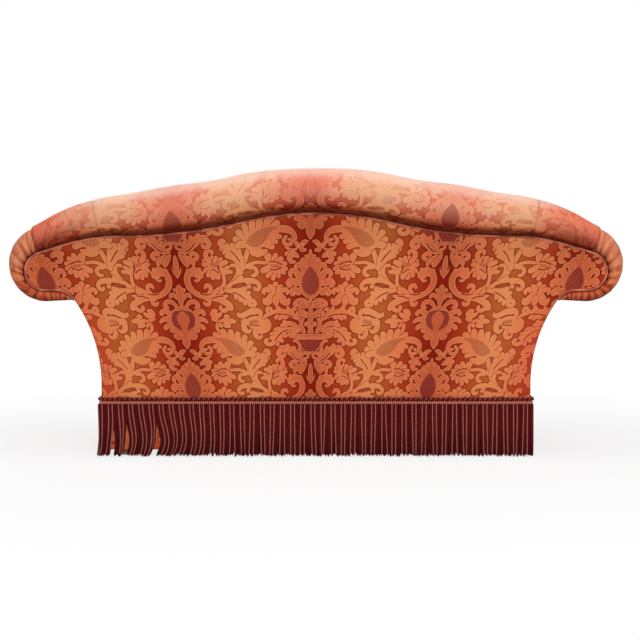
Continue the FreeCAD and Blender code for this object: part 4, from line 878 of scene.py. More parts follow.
def yarn_finish():
    """Twisted viscose of the fringe: maroon and coral, with painted shade where the plies meet and on shaded
    cords.
    """
    f = Finish("yarn", Specular_IOR_Level=0.05)
    coral, tone, shade = f.noted("yarn")
    cloth = f.cloth()
    x, y = f.parts(cloth)[:2]
    twisted = f.math("MULTIPLY_ADD", y, 2 * math.pi * YARN_SIZE / YARN_PITCH, x)
    ply = f.wave(twisted, math.pi * YARN_SIZE, 1.3)
    fibre = f.noise(f.stretch(cloth, (900, 160, 1)), 1.0, 1.0)
    colour = f.mix(coral, paint(112, 20, 20), paint(244, 146, 138))
    colour = f.mix(f.times(tone, 0.5), colour, paint(146, 40, 38))
    # Painted shade in the grooves where the plies meet.
    colour = f.mix(f.math("MULTIPLY_ADD", ply, -0.9, 0.9), colour, paint(34, 2, 2))
    colour = f.mix(f.blend(fibre, 0.3, 0.75, 0.0, 0.25), colour, paint(60, 12, 12))
    # Painted shade noted on each cord.
    colour = f.mix(shade, colour, paint(36, 4, 5))
    f.show(Base_Color=colour, Roughness=f.blend(fibre, 0.2, 0.8, 0.5, 0.7))
    f.bump(f.math("MULTIPLY_ADD", ply, 0.8, f.times(fibre, 0.3)), 0.0008, 0.7)
    return f.material


def gimp_finish():
    """Narrow woven band, ribbed across."""
    f = Finish("gimp", Roughness=0.6, Specular_IOR_Level=0.15)
    f.show(Sheen_Weight=0.05, Sheen_Tint=paint(255, 180, 160))
    x, y = f.parts(f.cloth())[:2]
    rib = f.wave(x, GIMP_RIB)
    edge = f.wave(y, 0.004)
    colour = f.mix(rib, paint(136, 32, 26), paint(255, 158, 130))
    f.show(Base_Color=f.mix(f.times(edge, 0.2), colour, paint(90, 26, 24)))
    f.bump(rib, 0.0006, 0.6)
    return f.material


def platform_finish():
    """Plain cotton under the seat cushion."""
    thread = 0.0018
    f = Finish("platform cloth", Roughness=0.82)
    x, y = f.parts(f.cloth())[:2]
    weave = f.times(f.wave(x, thread), f.wave(y, thread))
    tone = f.mix(f.noise(f.cloth(), 14.0), paint(150, 66, 44), paint(176, 92, 62))
    f.show(Base_Color=f.mix(f.times(weave, 0.2), tone, paint(206, 132, 98)))
    f.bump(weave, 0.0005, 0.6)
    return f.material


def timber_finish(name, stretch, dark, light, rough):
    """Wood with its grain along one axis."""
    f = Finish(name)
    place = f.stretch(f.place(), stretch)
    grain = {"Vector": place, "Scale": 14.0, "Distortion": 7.0, "Detail": 3.0}
    ring = f.node("TexWave", grain).outputs["Fac"]
    fleck = f.noise(f.stretch(place, (9, 9, 9)), 30.0)
    colour = f.mix(ring, dark, light)
    f.show(Base_Color=f.mix(f.blend(fleck, 0.5, 0.75, 0.0, 0.35), colour, dark))
    f.show(Roughness=f.blend(fleck, 0.3, 0.7, rough, rough + 0.15))
    f.bump(f.math("ADD", ring, fleck), 0.0004, 0.4)
    return f.material


def steel_finish():
    """Drawn steel with a thin bloom of rust."""
    f = Finish("drawn steel", Metallic=1.0)
    rust = f.blend(f.noise(f.place(), 60.0, 6.0), 0.52, 0.72)
    f.show(Base_Color=f.mix(rust, paint(150, 150, 152), paint(112, 78, 58)))
    f.show(Roughness=f.blend(rust, 0, 1, 0.32, 0.7))
    f.bump(f.noise(f.place(), 900.0), 0.0002, 0.4)
    return f.material


def plain_weave_finish(name, pitch, shadow, thread, stripe=None):
    """Coarse cloth of crossing threads, seen on all three axes, with stripes along it for webbing."""
    stripe_pitch, waver = 0.0125, 0.004
    f = Finish(name, Roughness=0.88)
    x, y, z = f.parts(f.place())
    down = f.math("ADD", y, z)
    warp = f.wave(f.math("MULTIPLY_ADD", f.noise(f.place(), 40.0), waver, x), pitch)
    weft = f.wave(f.math("MULTIPLY_ADD", f.noise(f.place(), 46.0), waver, down), pitch)
    weave = f.times(warp, weft)
    colour = f.mix(weave, shadow, thread)
    if stripe:
        lines = f.times(f.wave(x, stripe_pitch, 6.0), f.wave(down, stripe_pitch, 6.0))
        colour = f.mix(lines, colour, stripe)
    f.show(Base_Color=f.mix(f.blend(f.noise(f.place(), 8.0), 0.4, 0.7, 0.0, 0.3), colour, shadow))
    f.bump(weave, 0.0008, 0.7)
    return f.material


DAMASK_FINISH = damask_finish()
BIAS_FINISH = bias_finish()
YARN_FINISH = yarn_finish()
GIMP_FINISH = gimp_finish()
PLATFORM_FINISH = platform_finish()


# Covers


def dress(piece, slot, *nodes, body="frame"):
    """Hides the CAD parts that the piece stands for and sets it in the body that it moves with; the slot is
    not used.
    """
    if nodes:
        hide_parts(*nodes)
    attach(piece, body)


def both_sides(make):
    """Makes a piece of the right arm, then its mirror image."""
    for side, word in ((1, "right"), (-1, "left")):
        make(side, word)


def stand_up(flat, depth):
    """Points of the plane of the back, set up at a depth."""
    return together(flat[..., 0], depth, flat[..., 1])


def stand_out(flat, rim, swell, reach, top, edge):
    """How far a stretched panel swells away from its rim and above the fringe, and turns back at the rim."""
    near = np.clip(edge - rim, 0, edge)
    back = edge - np.sqrt(edge ** 2 - near ** 2)
    return swell * eased(rim, 0, reach) * eased(flat[:, 1], FRINGE_LINE, top) - back


# The outside back's cloth: its size, how it narrows, and the pomegranate's height on the back and the cloth
BACK_SIZE = 1.053
BACK_SHRINK = 0.375
UNSHRUNK = 0.487
AXIS_OFFSET = 0.0150
POMEGRANATE = (0.473, 0.283)


def back_cloth(x, z):
    """Where the outside back lies on the cloth, which narrows a little towards the floor."""
    grown = 1 - BACK_SHRINK * (UNSHRUNK - z)
    middle = 1 - BACK_SHRINK * (UNSHRUNK - POMEGRANATE[0])
    up = np.log(grown / middle) / (BACK_SIZE * BACK_SHRINK)
    return together((x - AXIS_OFFSET) / (BACK_SIZE * grown), POMEGRANATE[1] + up)


def make_outside_back():
    tuck, heading = -0.0005, 0.1545
    outline = mirrored(joined(welt_top(tuck), welt_lobe(tuck), welt_neck(tuck), hollow(APRON_BOTTOM)))
    flat, faces, rim = panel(outline, BACK_STEP)
    points = stand_up(flat, BACK + stand_out(flat, rim, swell=0.0035, reach=0.16, top=0.30, edge=0.005))
    piece = mesh_piece("outside_back_cover", points, faces[:, ::-1].tolist(), DAMASK_FINISH)
    x, z = flat.T
    lay_cloth(
        piece,
        back_cloth(x, z),
        # Paler along the upper piping, partly fading and partly a painted highlight; painted shade along the
        # rim and in a line under the fringe's heading.
        fade=0.14 * np.exp(-rim / 0.014) * eased(z, 0.50, 0.58),
        crease=0.3 * np.exp(-rim / 0.002) + 0.7 * np.exp(-((z - heading) / 0.004) ** 2),
        blush=np.exp(-rim / 0.045) * eased(z, 0.43, 0.36),
    )
    dress(piece, "damask", "outside_back")


# The roll's joins and creases: distance from the middle, slant and depth, which dents the roll and also sets
# the shade painted into it
ROLL_CREASES = ((ROLL_JOIN, 0.004, 0.32), (0.652, 0.012, 0.22), (0.690, -0.016, 0.26), (0.722, -0.022, 0.36))
CREASE_WIDTH = 0.0026
CREASE_DEPTH = 0.0016

# Its closed ends, its lumps, and how the cloth lies on it: offsets, stretch, tilt and the step at the joins
ROLL_CLOSING = 0.007
ROLL_LUMP = 0.0012
ROLL_CLOTH = (0.014, 0.062)
ROLL_STRETCH = 1.095
ROLL_TILT = 0.024
ROLL_STEP = 0.20


def roll_line():
    """Stations along the back roll: piping line, direction away from it, the roll's radius and middle."""
    line = mirrored(stepped(welt_top(0), CLOTH_STEP))
    radius = np.interp(np.abs(line[:, 0]), *ROLL_RADII)
    beside = 15
    span = 2 * beside + 1
    radius = np.convolve(np.pad(radius, beside, "edge"), np.ones(span) / span, "valid")
    out = left_of(line)
    return line, out, radius, line + out * (radius + BESIDE_WELT)[:, None]


def make_back_roll():
    line, out, radius, middle = roll_line()
    radius = radius[:, None]
    place = along(line)[:, None]
    place = place - place[-1] / 2
    x = np.abs(line[:, :1])
    to_end = place[-1] - np.abs(place)
    closing = np.sqrt(1 - (1 - np.clip(to_end / ROLL_CLOSING, 0, 1)) ** 2)
    turn = np.radians(np.linspace(-118, 242, 110))
    up = np.sin(turn)
    crease = 0.0
    for where, slant, depth in ROLL_CREASES:
        crease += depth * np.exp(-((x - where - slant * up) / CREASE_WIDTH) ** 2)
    lumps = ROLL_LUMP * np.sin(place * 23 + 1) * np.sin(turn * 2 + 0.6)
    full = radius * closing + (lumps - CREASE_DEPTH * crease) * closing
    rise = full * up
    points = together(
        middle[:, :1] + out[:, :1] * rise,
        ROLL_DEPTH + full * np.interp(x, *ROLL_FLATTENING) * np.cos(turn),
        middle[:, 1:] + out[:, 1:] * rise,
    )
    round_roll = radius * (turn + np.pi / 2) - ROLL_CLOTH[1]
    cloth = together(
        (place - ROLL_CLOTH[0]) / ROLL_STRETCH,
        round_roll + ROLL_TILT * line[:, :1] + ROLL_STEP * (x > ROLL_JOIN),
    )
    ends = eased(x, 0.56, 0.70)
    # Paler as the roll faces up, partly fading and partly painted light from above; past 1, a painted
    # highlight on its crest.
    fade = eased(up, -0.95, 0.1) + 0.7 * eased(up, 0.25, 1.0)
    fade = fade * (0.55 + 0.45 * eased(np.cos(turn), -0.9, 0.1))
    # Painted shade on the underside of the roll above the piping and at its closed ends, deeper underneath
    # towards the ends.
    painted_gloom = 0.92 * eased(-up, 0.54, 0.90) + 0.6 * np.exp(-to_end / 0.005)
    painted_gloom = np.maximum(painted_gloom, 0.72 * eased(-up, -0.5, 0.85) * ends)
    piece = grid_piece(
        "back_roll_cover", points, cloth, DAMASK_FINISH, flip=True,
        fade=fade - ends * np.clip(fade - 0.95, 0, None),
        # Painted shade in the creases of the roll, and on its underside and ends.
        crease=np.clip(0.7 * crease + painted_gloom, 0, 1),
        blush=1.1 * ends,
    )
    dress(piece, "damask", "back_roll")


def circle_through(a, b, c):
    """Centre and radius of the circle through three points."""
    rows = np.array([np.subtract(b, a), np.subtract(c, a)])
    sizes = np.array([np.dot(b, b) - np.dot(a, a), np.dot(c, c) - np.dot(a, a)]) / 2
    centre = np.linalg.solve(rows, sizes)
    return centre, np.linalg.norm(centre - a)


def bent(a, b, c, d):
    """A curve from the first place to the last, drawn towards the two between."""
    t = np.linspace(0, 1, 22)[1:, None]
    return (1 - t) ** 3 * a + 3 * t * (1 - t) ** 2 * b + 3 * t ** 2 * (1 - t) * c + t ** 3 * d


# Inside back: three points of its face in section, as depth and height, and the angle where it meets the roll
INSIDE_FACE = ((0.169, 0.249), (0.187, 0.547), (0.283, 0.790))
INSIDE_SIDE = 0.716
INSIDE_MEETING = 24
INSIDE_CLOTH = 0.20


def make_inside_back():
    centre, radius = circle_through(*INSIDE_FACE)
    line, _, roll_radius, middle = roll_line()
    arm = arm_cover((160, 60, 100, 20), PAD_BOTTOM)
    rising = arm[:arm[:, 1].argmax() + 1]
    clear, turned, meeting = 0.0005, 0.018, math.radians(INSIDE_MEETING)
    x = np.linspace(-INSIDE_SIDE, INSIDE_SIDE, 435)
    from_middle = np.abs(x)
    welt = np.interp(x, *line.T)
    roll = np.interp(x, *middle.T)
    size = np.interp(x, middle[:, 0], roll_radius)
    rise = np.interp(from_middle, (0.5345, 0.694), (0.078, 0.032))
    bottom = np.interp(from_middle, *rising.T, left=PAD_BOTTOM) + clear
    bottom = np.where(from_middle < ARM_INNER, PAD_BOTTOM, bottom)
    taper = eased(from_middle, 0.715, 0.665)
    top = np.maximum(welt + rise - 0.022, bottom + clear + 0.0035 * taper)
    height = bottom + np.linspace(0, 1, 150)[:, None] * (top - bottom)
    depth = centre[0] - np.sqrt(radius ** 2 - (height - centre[1]) ** 2)
    lean = (height[-1] - centre[1]) / (centre[0] - depth[-1])
    flat = np.interp(from_middle, *ROLL_FLATTENING)
    roll_depth = ROLL_DEPTH - flat * size * math.cos(meeting) + 0.002
    roll_height = roll + size * math.sin(meeting)
    over = bent(depth[-1], depth[-1] + turned * taper * lean, roll_depth - 0.020, roll_depth)
    upper = bent(height[-1], height[-1] + turned * taper, roll_height + 0.001, roll_height)
    depth = np.vstack([depth, over])
    height = np.vstack([height, upper])
    run = np.vstack([0 * x, np.cumsum(np.hypot(np.diff(depth, axis=0), np.diff(height, axis=0)), axis=0)])
    piece = grid_piece(
        "inside_back_cover",
        together(x, depth, height),
        together(x, run + bottom - INSIDE_CLOTH),
        DAMASK_FINISH,
        # Paler towards the top, partly fading and partly painted light from above; painted shade at the
        # bottom, in the corner against the seat.
        fade=0.5 * eased(height, 0.60, 0.78),
        crease=0.7 * np.exp(-(height - bottom) / 0.012),
    )
    dress(piece, "damask", "inside_back_pad")


# Arms: points on each run of the section, the cover's straight length, and where it lies on the cloth
ARM_COUNTS = (118, 26, 104, 24)
ARM_STRAIGHT = (-0.395, 0.333)
ARM_CLOTH = 0.16

# Pleats at the arm's ends: their foot, their lift there and on the straight cover, and how far they run on it
PLEAT_FOOT = 0.6
PLEAT_LIFT = 0.0024
STRAIGHT_LIFT = 0.0007
PLEAT_RUN = 0.02
CUFF_REACH = 0.008
CUFF_CLOTH = 0.05


def pleats(places, seed):
    """Round folds of uneven width along a gathered edge, 0 in the folds and 1 between."""
    count = 200
    draw = np.random.default_rng(seed)
    edges = np.cumsum(draw.uniform(0.010, 0.021, count)) - 0.01
    phase = np.interp(places, edges, np.arange(count))
    return np.abs(np.sin(np.pi * phase)) ** 0.7


def make_arm(side, word):
    outer = arm_cover(ARM_COUNTS, PAD_BOTTOM)
    inner = arm_board(ARM_COUNTS, PAD_BOTTOM, BESIDE_WELT)
    profile = along(outer)
    index = np.arange(len(outer))
    height = outer[:, 1]
    band = np.linalg.norm(outer - inner, axis=1)
    away = (outer - inner) / np.maximum(band, 0.001)[:, None]
    puff = np.clip(band / 2, 0.002, 0.019)
    gathered = eased(index, ARM_COUNTS[0], ARM_COUNTS[0] + ARM_COUNTS[1] + 6) * eased(band, 0.004, 0.02)
    high = eased(height, 0.46, 0.58)
    low = eased(height, 0.49, 0.44)
    front, rear = ARM_STRAIGHT
    front_folds, rear_folds = [pleats(along(inner), seed + side) for seed in (5, 15)]

    def cuff(end, edge, folds, full):
        """A gathered end, from the straight cover round to the board: points, cloth, and fading with painted
        light and shade.
        """
        b = np.linspace(0, 1, 17)[1:, None]
        arch = np.sin(np.pi * b)
        swing = np.cos(np.pi * b)
        lift = PLEAT_LIFT * (0.3 + 0.7 * arch) * (1 - b ** 6) * (folds - PLEAT_FOOT) * gathered
        spot = outer + (inner - outer) * (0.5 - 0.5 * swing)[..., None] + away * (lift * swing)[..., None]
        points = stand_up(spot, edge + end * full * (CUFF_REACH * b + (puff + lift) * arch))
        cloth = together(ARM_CLOTH + edge + end * CUFF_CLOTH * b, profile)
        # Painted shade in the valleys of the pleats, towards the board and on the underside; the top is
        # paler, partly fading and partly painted light.
        crease = (0.32 + 0.10 * end + 0.33 * b) * (1 - folds) * gathered
        crease += 0.6 * eased(b, 0.55, 1) * (1 - 0.7 * low) + 0.95 * low * (1 - b) ** 1.4
        fade_blush_and_painted_light = together(0.75 * high * gathered * (1 - 0.7 * b), crease, 0.9 * gathered + 0.8 * low)
        return points, cloth, fade_blush_and_painted_light

    def straight():
        """The cover between its ends: points, cloth, and fading with painted light and shade."""
        y = np.linspace(front, rear, 190)[:, None]
        to_front = np.exp(-(y - front) / PLEAT_RUN)
        to_rear = np.exp(-(rear - y) / PLEAT_RUN)
        lift = to_front * (front_folds - PLEAT_FOOT) + to_rear * (rear_folds - PLEAT_FOOT)
        points = stand_up(outer + away * (STRAIGHT_LIFT * gathered * lift)[..., None], y)
        # Paler on top, partly fading and partly painted light; painted shade in the folds near the rear and
        # on the underside.
        fade = (0.3 + 0.4 * to_rear) * eased(height, 0.54, 0.62)
        crease = 0.2 * to_rear * (1 - front_folds) * gathered + 0.2 * low
        return points, together(ARM_CLOTH + y, profile), together(fade, crease, 0.5 * gathered * to_rear)

    front_cuff = [rows[::-1] for rows in cuff(-1, front, front_folds, 1)]
    rear_cuff = cuff(1, rear, rear_folds, eased(index, 132, 146))
    points, cloth, fade_blush_and_painted_light = [np.vstack(rows) for rows in zip(front_cuff, straight(), rear_cuff)]
    points[..., 0] *= side
    marks = dict(zip(("fade", "crease", "blush"), np.moveaxis(fade_blush_and_painted_light, -1, 0)))
    piece = grid_piece(f"{word}_arm_cover", points, cloth, DAMASK_FINISH, flip=side < 0, **marks)
    dress(piece, "damask", f"{word}_arm_pad")


def make_outside_arm(side, word):
    path = stepped(hollow(), 0.0035)
    x, z = path.T
    down = along(path)
    y = np.linspace(FRONT + 0.0015, BACK - 0.0045, 200)[:, None]
    to_end = np.minimum(y - y[0], y[-1] - y)
    swell = 0.003 * eased(to_end, 0, 0.15) * eased(z, FRINGE_LINE, 0.26) * eased(down, 0.0, 0.08)
    piece = grid_piece(
        f"{word}_outside_arm_cover", together(side * (x + swell), y, z), together(y, 0.6 - down),
        # Painted shade along the top, under the overhang of the arm.
        DAMASK_FINISH, flip=side < 0, crease=0.8 * np.exp(-down / 0.006),
    )
    dress(piece, "damask", f"{word}_outside_arm")


def make_facing(side, word):
    outline = joined(arm_board(ARM_COUNTS, COVER_BOTTOM, -0.0005), hollow())
    flat, faces, rim = panel(outline, 0.0032)
    points = stand_up(flat, FRONT - stand_out(flat, rim, swell=0.004, reach=0.04, top=0.24, edge=0.003))
    points[:, 0] *= side
    piece = mesh_piece(f"{word}_facing_cover", points, faces[:, ::side].tolist(), DAMASK_FINISH)
    # Painted shade along the rim, beside the piping.
    lay_cloth(piece, flat - [LOBE[0], 0.23], crease=0.7 * np.exp(-rim / 0.003))
    dress(piece, "damask", f"{word}_arm_facing")


def make_front_border():
    half, top = 0.5380, 0.2485
    outline = np.array([(-half, COVER_BOTTOM), (half, COVER_BOTTOM), (half, top), (-half, top)])
    flat, faces, rim = panel(outline, 0.0036)
    points = stand_up(flat, FRONT - stand_out(flat, rim, swell=0.002, reach=0.05, top=0.20, edge=0.003))
    piece = mesh_piece("front_border_cover", points, faces.tolist(), DAMASK_FINISH)
    # Painted shade along the rim.
    lay_cloth(piece, flat + [0, 0.03], crease=0.6 * np.exp(-rim / 0.004))
    dress(piece, "damask", "front_border")


def squarer(value, power):
    """A sine or cosine that rounds a square instead of a circle."""
    return np.sign(value) * np.abs(value) ** power


def make_edge_roll():
    middle, size = (-0.3655, 0.2760), (0.0350, 0.0270)
    turn = np.radians(np.linspace(228, 20, 60))
    oval = squarer(together(np.cos(turn), np.sin(turn)), 0.6)
    profile = spaced(joined([(FRONT + 0.0025, 0.2490)], middle + oval * size), 60)
    side = ARM_INNER - BESIDE_ARM
    x = np.linspace(-side, side, 260)
    points = together(x, profile[:, :1], profile[:, 1:])
    cloth = together(x, along(profile)[:, None] + 0.26)
    piece = grid_piece("front_edge_roll_cover", points, cloth, DAMASK_FINISH)
    dress(piece, "damask", "front_edge_roll")


def make_deck():
    side, top = SEAT_SIDE - BESIDE_ARM, 0.3032
    x = np.linspace(-side, side, 130)
    y = np.linspace(-0.3300, 0.1625, 70)[:, None]
    gap = np.minimum(SEAT_SIDE - np.abs(x), np.minimum(y - y[0], y[-1] - y))
    sink = 0.012 * (1 - eased(gap, 0, 0.03)) + 0.002 * np.sin(x * 40) ** 2 * np.sin(y * 37) ** 2
    points = together(x, y, top - sink)
    piece = grid_piece("seat_deck_cover", points, points[..., :2], PLATFORM_FINISH)
    dress(piece, "damask", "seat_deck")


# Piping


def piping(name, line, side, up, nodes, body="frame"):
    """Cord covered in bias-cut cloth along a line that lies across the direction up."""
    rings = tube(line, side, up, WELT_RADIUS, 12)
    round_cord = np.linspace(0, 2 * np.pi * WELT_RADIUS, rings.shape[1])
    piece = grid_piece(name, rings, together(along(line)[:, None], round_cord), BIAS_FINISH, flip=True)
    dress(piece, "piping", *nodes, body=body)


def upright_piping(name, flat, depth, node):
    piping(name, stand_up(flat, depth), stand_up(left_of(flat), 0.0), (0, 1, 0), [node])


def make_back_piping():
    half = joined(welt_top(0), welt_lobe(0), welt_neck(0))
    upright_piping("back_piping_cord", mirrored(spaced(half, 520)), BACK, "back_piping")


def make_facing_piping(side, word):
    board = spaced(arm_board(ARM_COUNTS, PAD_BOTTOM, 0.0), 360)
    flat = board if side > 0 else board[::-1] * [-1, 1]
    upright_piping(f"{word}_facing_piping_cord", flat, FRONT, f"{word}_facing_piping")


# Seat cushion

CUSHION_HALF = 0.4841
CUSHION_FRONT, CUSHION_REAR = -0.3978, 0.1541
CUSHION_MIDDLE = (CUSHION_FRONT + CUSHION_REAR) / 2
CUSHION_BOTTOM = 0.3040
CUSHION_SEAMS = (0.3157, 0.3977)
CUSHION_CORNER = 0.045
CUSHION_CLOTH = 0.36
SEAM_WIDTH = 0.0045

# Rings of the cushion before it is stuffed: distance outside its rim, and height
CUSHION_LEVELS = (
    (-0.014, 0.306), (-0.005, CUSHION_SEAMS[0]), (-0.010, 0.357), (-0.005, CUSHION_SEAMS[1]),
    (-0.024, 0.4075), (-0.077, 0.413), (-0.170, 0.4165),
)


def cushion_rim(out, count):
    """Rounded rectangle of the cushion seen from above, anticlockwise from the middle of the front."""
    radius = max(CUSHION_CORNER + out, 0.012)
    right = CUSHION_HALF + out - radius
    front, rear = CUSHION_FRONT - out + radius, CUSHION_REAR + out - radius
    return spaced(rounded_frame(right, front, rear, radius), count + 1)[:-1]


def points_of(mesh):
    places = np.empty(len(mesh.vertices) * 3, np.float32)
    mesh.vertices.foreach_get("co", places)
    return places.reshape(-1, 3)


def shaped(piece):
    """A new mesh: the piece as its modifiers make it."""
    return bpy.data.meshes.new_from_object(piece.evaluated_get(bpy.context.evaluated_depsgraph_get()))


def stuffed(piece, held, pressure, most):
    """The piece blown up by its stuffing: some points are held, and no other moves further than most."""
    steps = 20
    scene = bpy.context.scene
    before = points_of(piece.data)
    group = piece.vertex_groups.new(name="held")
    group.add(held.tolist(), 1.0, "REPLACE")
    cloth = piece.modifiers.new("stuffing", "CLOTH")
    cloth.settings.vertex_group_mass = "held"
    cloth.settings.use_pressure = True
    cloth.settings.uniform_pressure_force = pressure
    cloth.settings.effector_weights.gravity = 0
    cloth.settings.quality = 5
    cloth.settings.tension_stiffness = 40
    cloth.settings.bending_stiffness = 2
    cloth.point_cache.frame_start, cloth.point_cache.frame_end = 1, steps
    for step in range(1, steps + 1):
        scene.frame_set(step)
    blown = shaped(piece)
    moved = points_of(blown) - before
    bpy.data.meshes.remove(blown)
    piece.modifiers.remove(cloth)
    piece.vertex_groups.remove(group)
    scene.frame_set(1)
    far = np.linalg.norm(moved, axis=1)[:, None]
    places = before + moved * np.minimum(1, most / np.maximum(far, 1e-9))
    piece.data.vertices.foreach_set("co", places.ravel())
    piece.data.update()


def with_modifier(piece, kind, **settings):
    """Gives the piece the mesh that one modifier makes of it."""
    made = piece.modifiers.new(kind.lower(), kind)
    for key, value in settings.items():
        setattr(made, key, value)
    mesh = shaped(piece)
    piece.modifiers.remove(made)
    old, piece.data = piece.data, mesh
    bpy.data.meshes.remove(old)


def cushion_shell():
    """The cushion before it is stuffed, as points and faces: rings closed at the bottom and the top."""
    count = 220
    rings = [np.column_stack([cushion_rim(out, count), np.full(count, z)]) for out, z in CUSHION_LEVELS]
    hubs = [(0, CUSHION_MIDDLE, CUSHION_LEVELS[end][1]) for end in (0, -1)]
    points = np.vstack(rings + [hubs])
    bottom, top = len(points) - 2, len(points) - 1
    last = bottom - count
    pairs = [(k, (k + 1) % count) for k in range(count)]
    faces = [(k + a, k + b, k + count + b, k + count + a) for k in range(0, last, count) for a, b in pairs]
    faces += [(bottom, b, a) for a, b in pairs]
    faces += [(top, last + a, last + b) for a, b in pairs]
    return points, faces


def cushion_spots(mesh):
    """The mesh's points, the rim's nearest to each, how far inside it they lie and how near a seam."""
    spots = points_of(mesh).astype(float)
    rim = cushion_rim(0.0, 900)
    touch, apart = nearest(spots[:, :2], rim)
    signed = np.where(inside(spots[:, :2], rim), apart, -apart)
    seam = np.max([np.exp(-((spots[:, 2] - height) / SEAM_WIDTH) ** 2) for height in CUSHION_SEAMS], 0)
    return spots, touch, signed, seam


def make_cushion():
    piece = mesh_piece("seat_cushion", *cushion_shell(), DAMASK_FINISH)
    with_modifier(piece, "REMESH", mode="VOXEL", voxel_size=0.0082)
    _, _, signed, seam = cushion_spots(piece.data)
    sewn = (seam > 0.35) & (signed < 0.016)
    stuffed(piece, np.flatnonzero(sewn), pressure=4.0, most=0.022)
    with_modifier(piece, "SUBSURF", levels=1)
    mesh = piece.data
    spots, touch, signed, seam = cushion_spots(mesh)
    over = np.clip(-signed - 0.004 * (1 - seam), 0, None)
    over += seam ** 2 * eased(signed, 0.030, 0.012) * (0.0004 - signed - over)
    spots[:, :2] += (spots[:, :2] - touch) * (over / np.where(np.abs(signed) < 1e-6, 1e-6, signed))[:, None]
    spots[:, 2] = np.clip(spots[:, 2], CUSHION_BOTTOM, None)
    mesh.vertices.foreach_set("co", spots.astype(np.float32).ravel())
    mesh.polygons.foreach_set("use_smooth", np.ones(len(mesh.polygons), bool))
    mesh.update()
    x, y, z = spots.T
    drop = np.clip(CUSHION_SEAMS[1] - z, 0, None)
    sideways = CUSHION_HALF - np.abs(x) < np.minimum(y - CUSHION_FRONT, CUSHION_REAR - y)
    cloth = together(
        x + np.where(sideways, np.sign(x) * drop, 0),
        y + np.where(sideways, 0, np.sign(y - CUSHION_MIDDLE) * drop) + CUSHION_CLOTH,
    )
    # Paler on the top face, partly fading and partly painted light; painted shade along the piped seams.
    lay_cloth(piece, cloth, fade=0.12 * eased(z, 0.40, 0.42), crease=0.5 * seam * (signed < 0.012))
    dress(piece, "damask", "cushion_cover", "cushion_core", body="cushion")


def make_cushion_piping():
    line = cushion_rim(0.0036, 1200)
    line = np.vstack([line, line[:1]])
    side = np.column_stack([left_of(line), np.zeros(len(line))])
    side[-1] = side[0]
    for word, height, nodes in zip(("lower", "upper"), CUSHION_SEAMS, ([], ["cushion_piping"])):
        centre = np.column_stack([line, np.full(len(line), height)])
        piping(f"cushion_{word}_piping_cord", centre, side, (0, 0, 1), nodes, body="cushion")


# Fringe

FRINGE_TOP = 0.1452
FRINGE_GAP = 0.0003
BULLION_LENGTH = 0.1424
GIMP_HEIGHT = 0.1493
GIMP_SIZE = (0.0029, 0.0039)
ROPE_HEIGHT = 0.1595
ROPE_TURN = 0.0135

# The cords of one repeat: place along it, and whether they are coral
CORDS = ((0.0, 1), (0.0052, 0), (0.0104, 1), (0.0155, 0), (0.0219, 0))
CORDS_REPEAT = 0.0272
UNDER_GAP = 0.0048

# Radius of a cord, and how far out it hangs
CORAL_CORD = (0.0015, 0.0070)
DARK_CORD = (0.0036, 0.0050)
UNDER_CORD = (0.0031, 0.0034)

# Partings of the rear fringe, place and half width, how far they push, and where the cords bow
PARTINGS = ((0.557, 0.0055), (0.5245, 0.0085), (0.4445, 0.0105))
PARTING_REACH = 0.022
BOW_PLACE = 0.17
BOW_REACH = 0.13

# Strands of the rope: whether coral, turn, distance from the rope's middle and radius
ROPE = ((0.0, 0.0, 0.0022, 0.0026), (0.0, np.pi, 0.0022, 0.0026), (1.0, np.pi / 2, 0.0032, 0.0019))


def yarn_piece(name, points, flat, yarn):
    """One mesh of many strands: points of strands by rings by sides."""
    strands, rings, sides = points.shape[:3]
    faces = grid_faces(rings, sides, flip=True)
    faces = (faces + (np.arange(strands) * rings * sides)[:, None, None]).reshape(-1, 4)
    piece = mesh_piece(name, points.reshape(-1, 3), faces.tolist(), YARN_FINISH)
    lay_flat(piece.data, flat.reshape(-1, 2))
    note(piece.data, "yarn", yarn)
    return piece


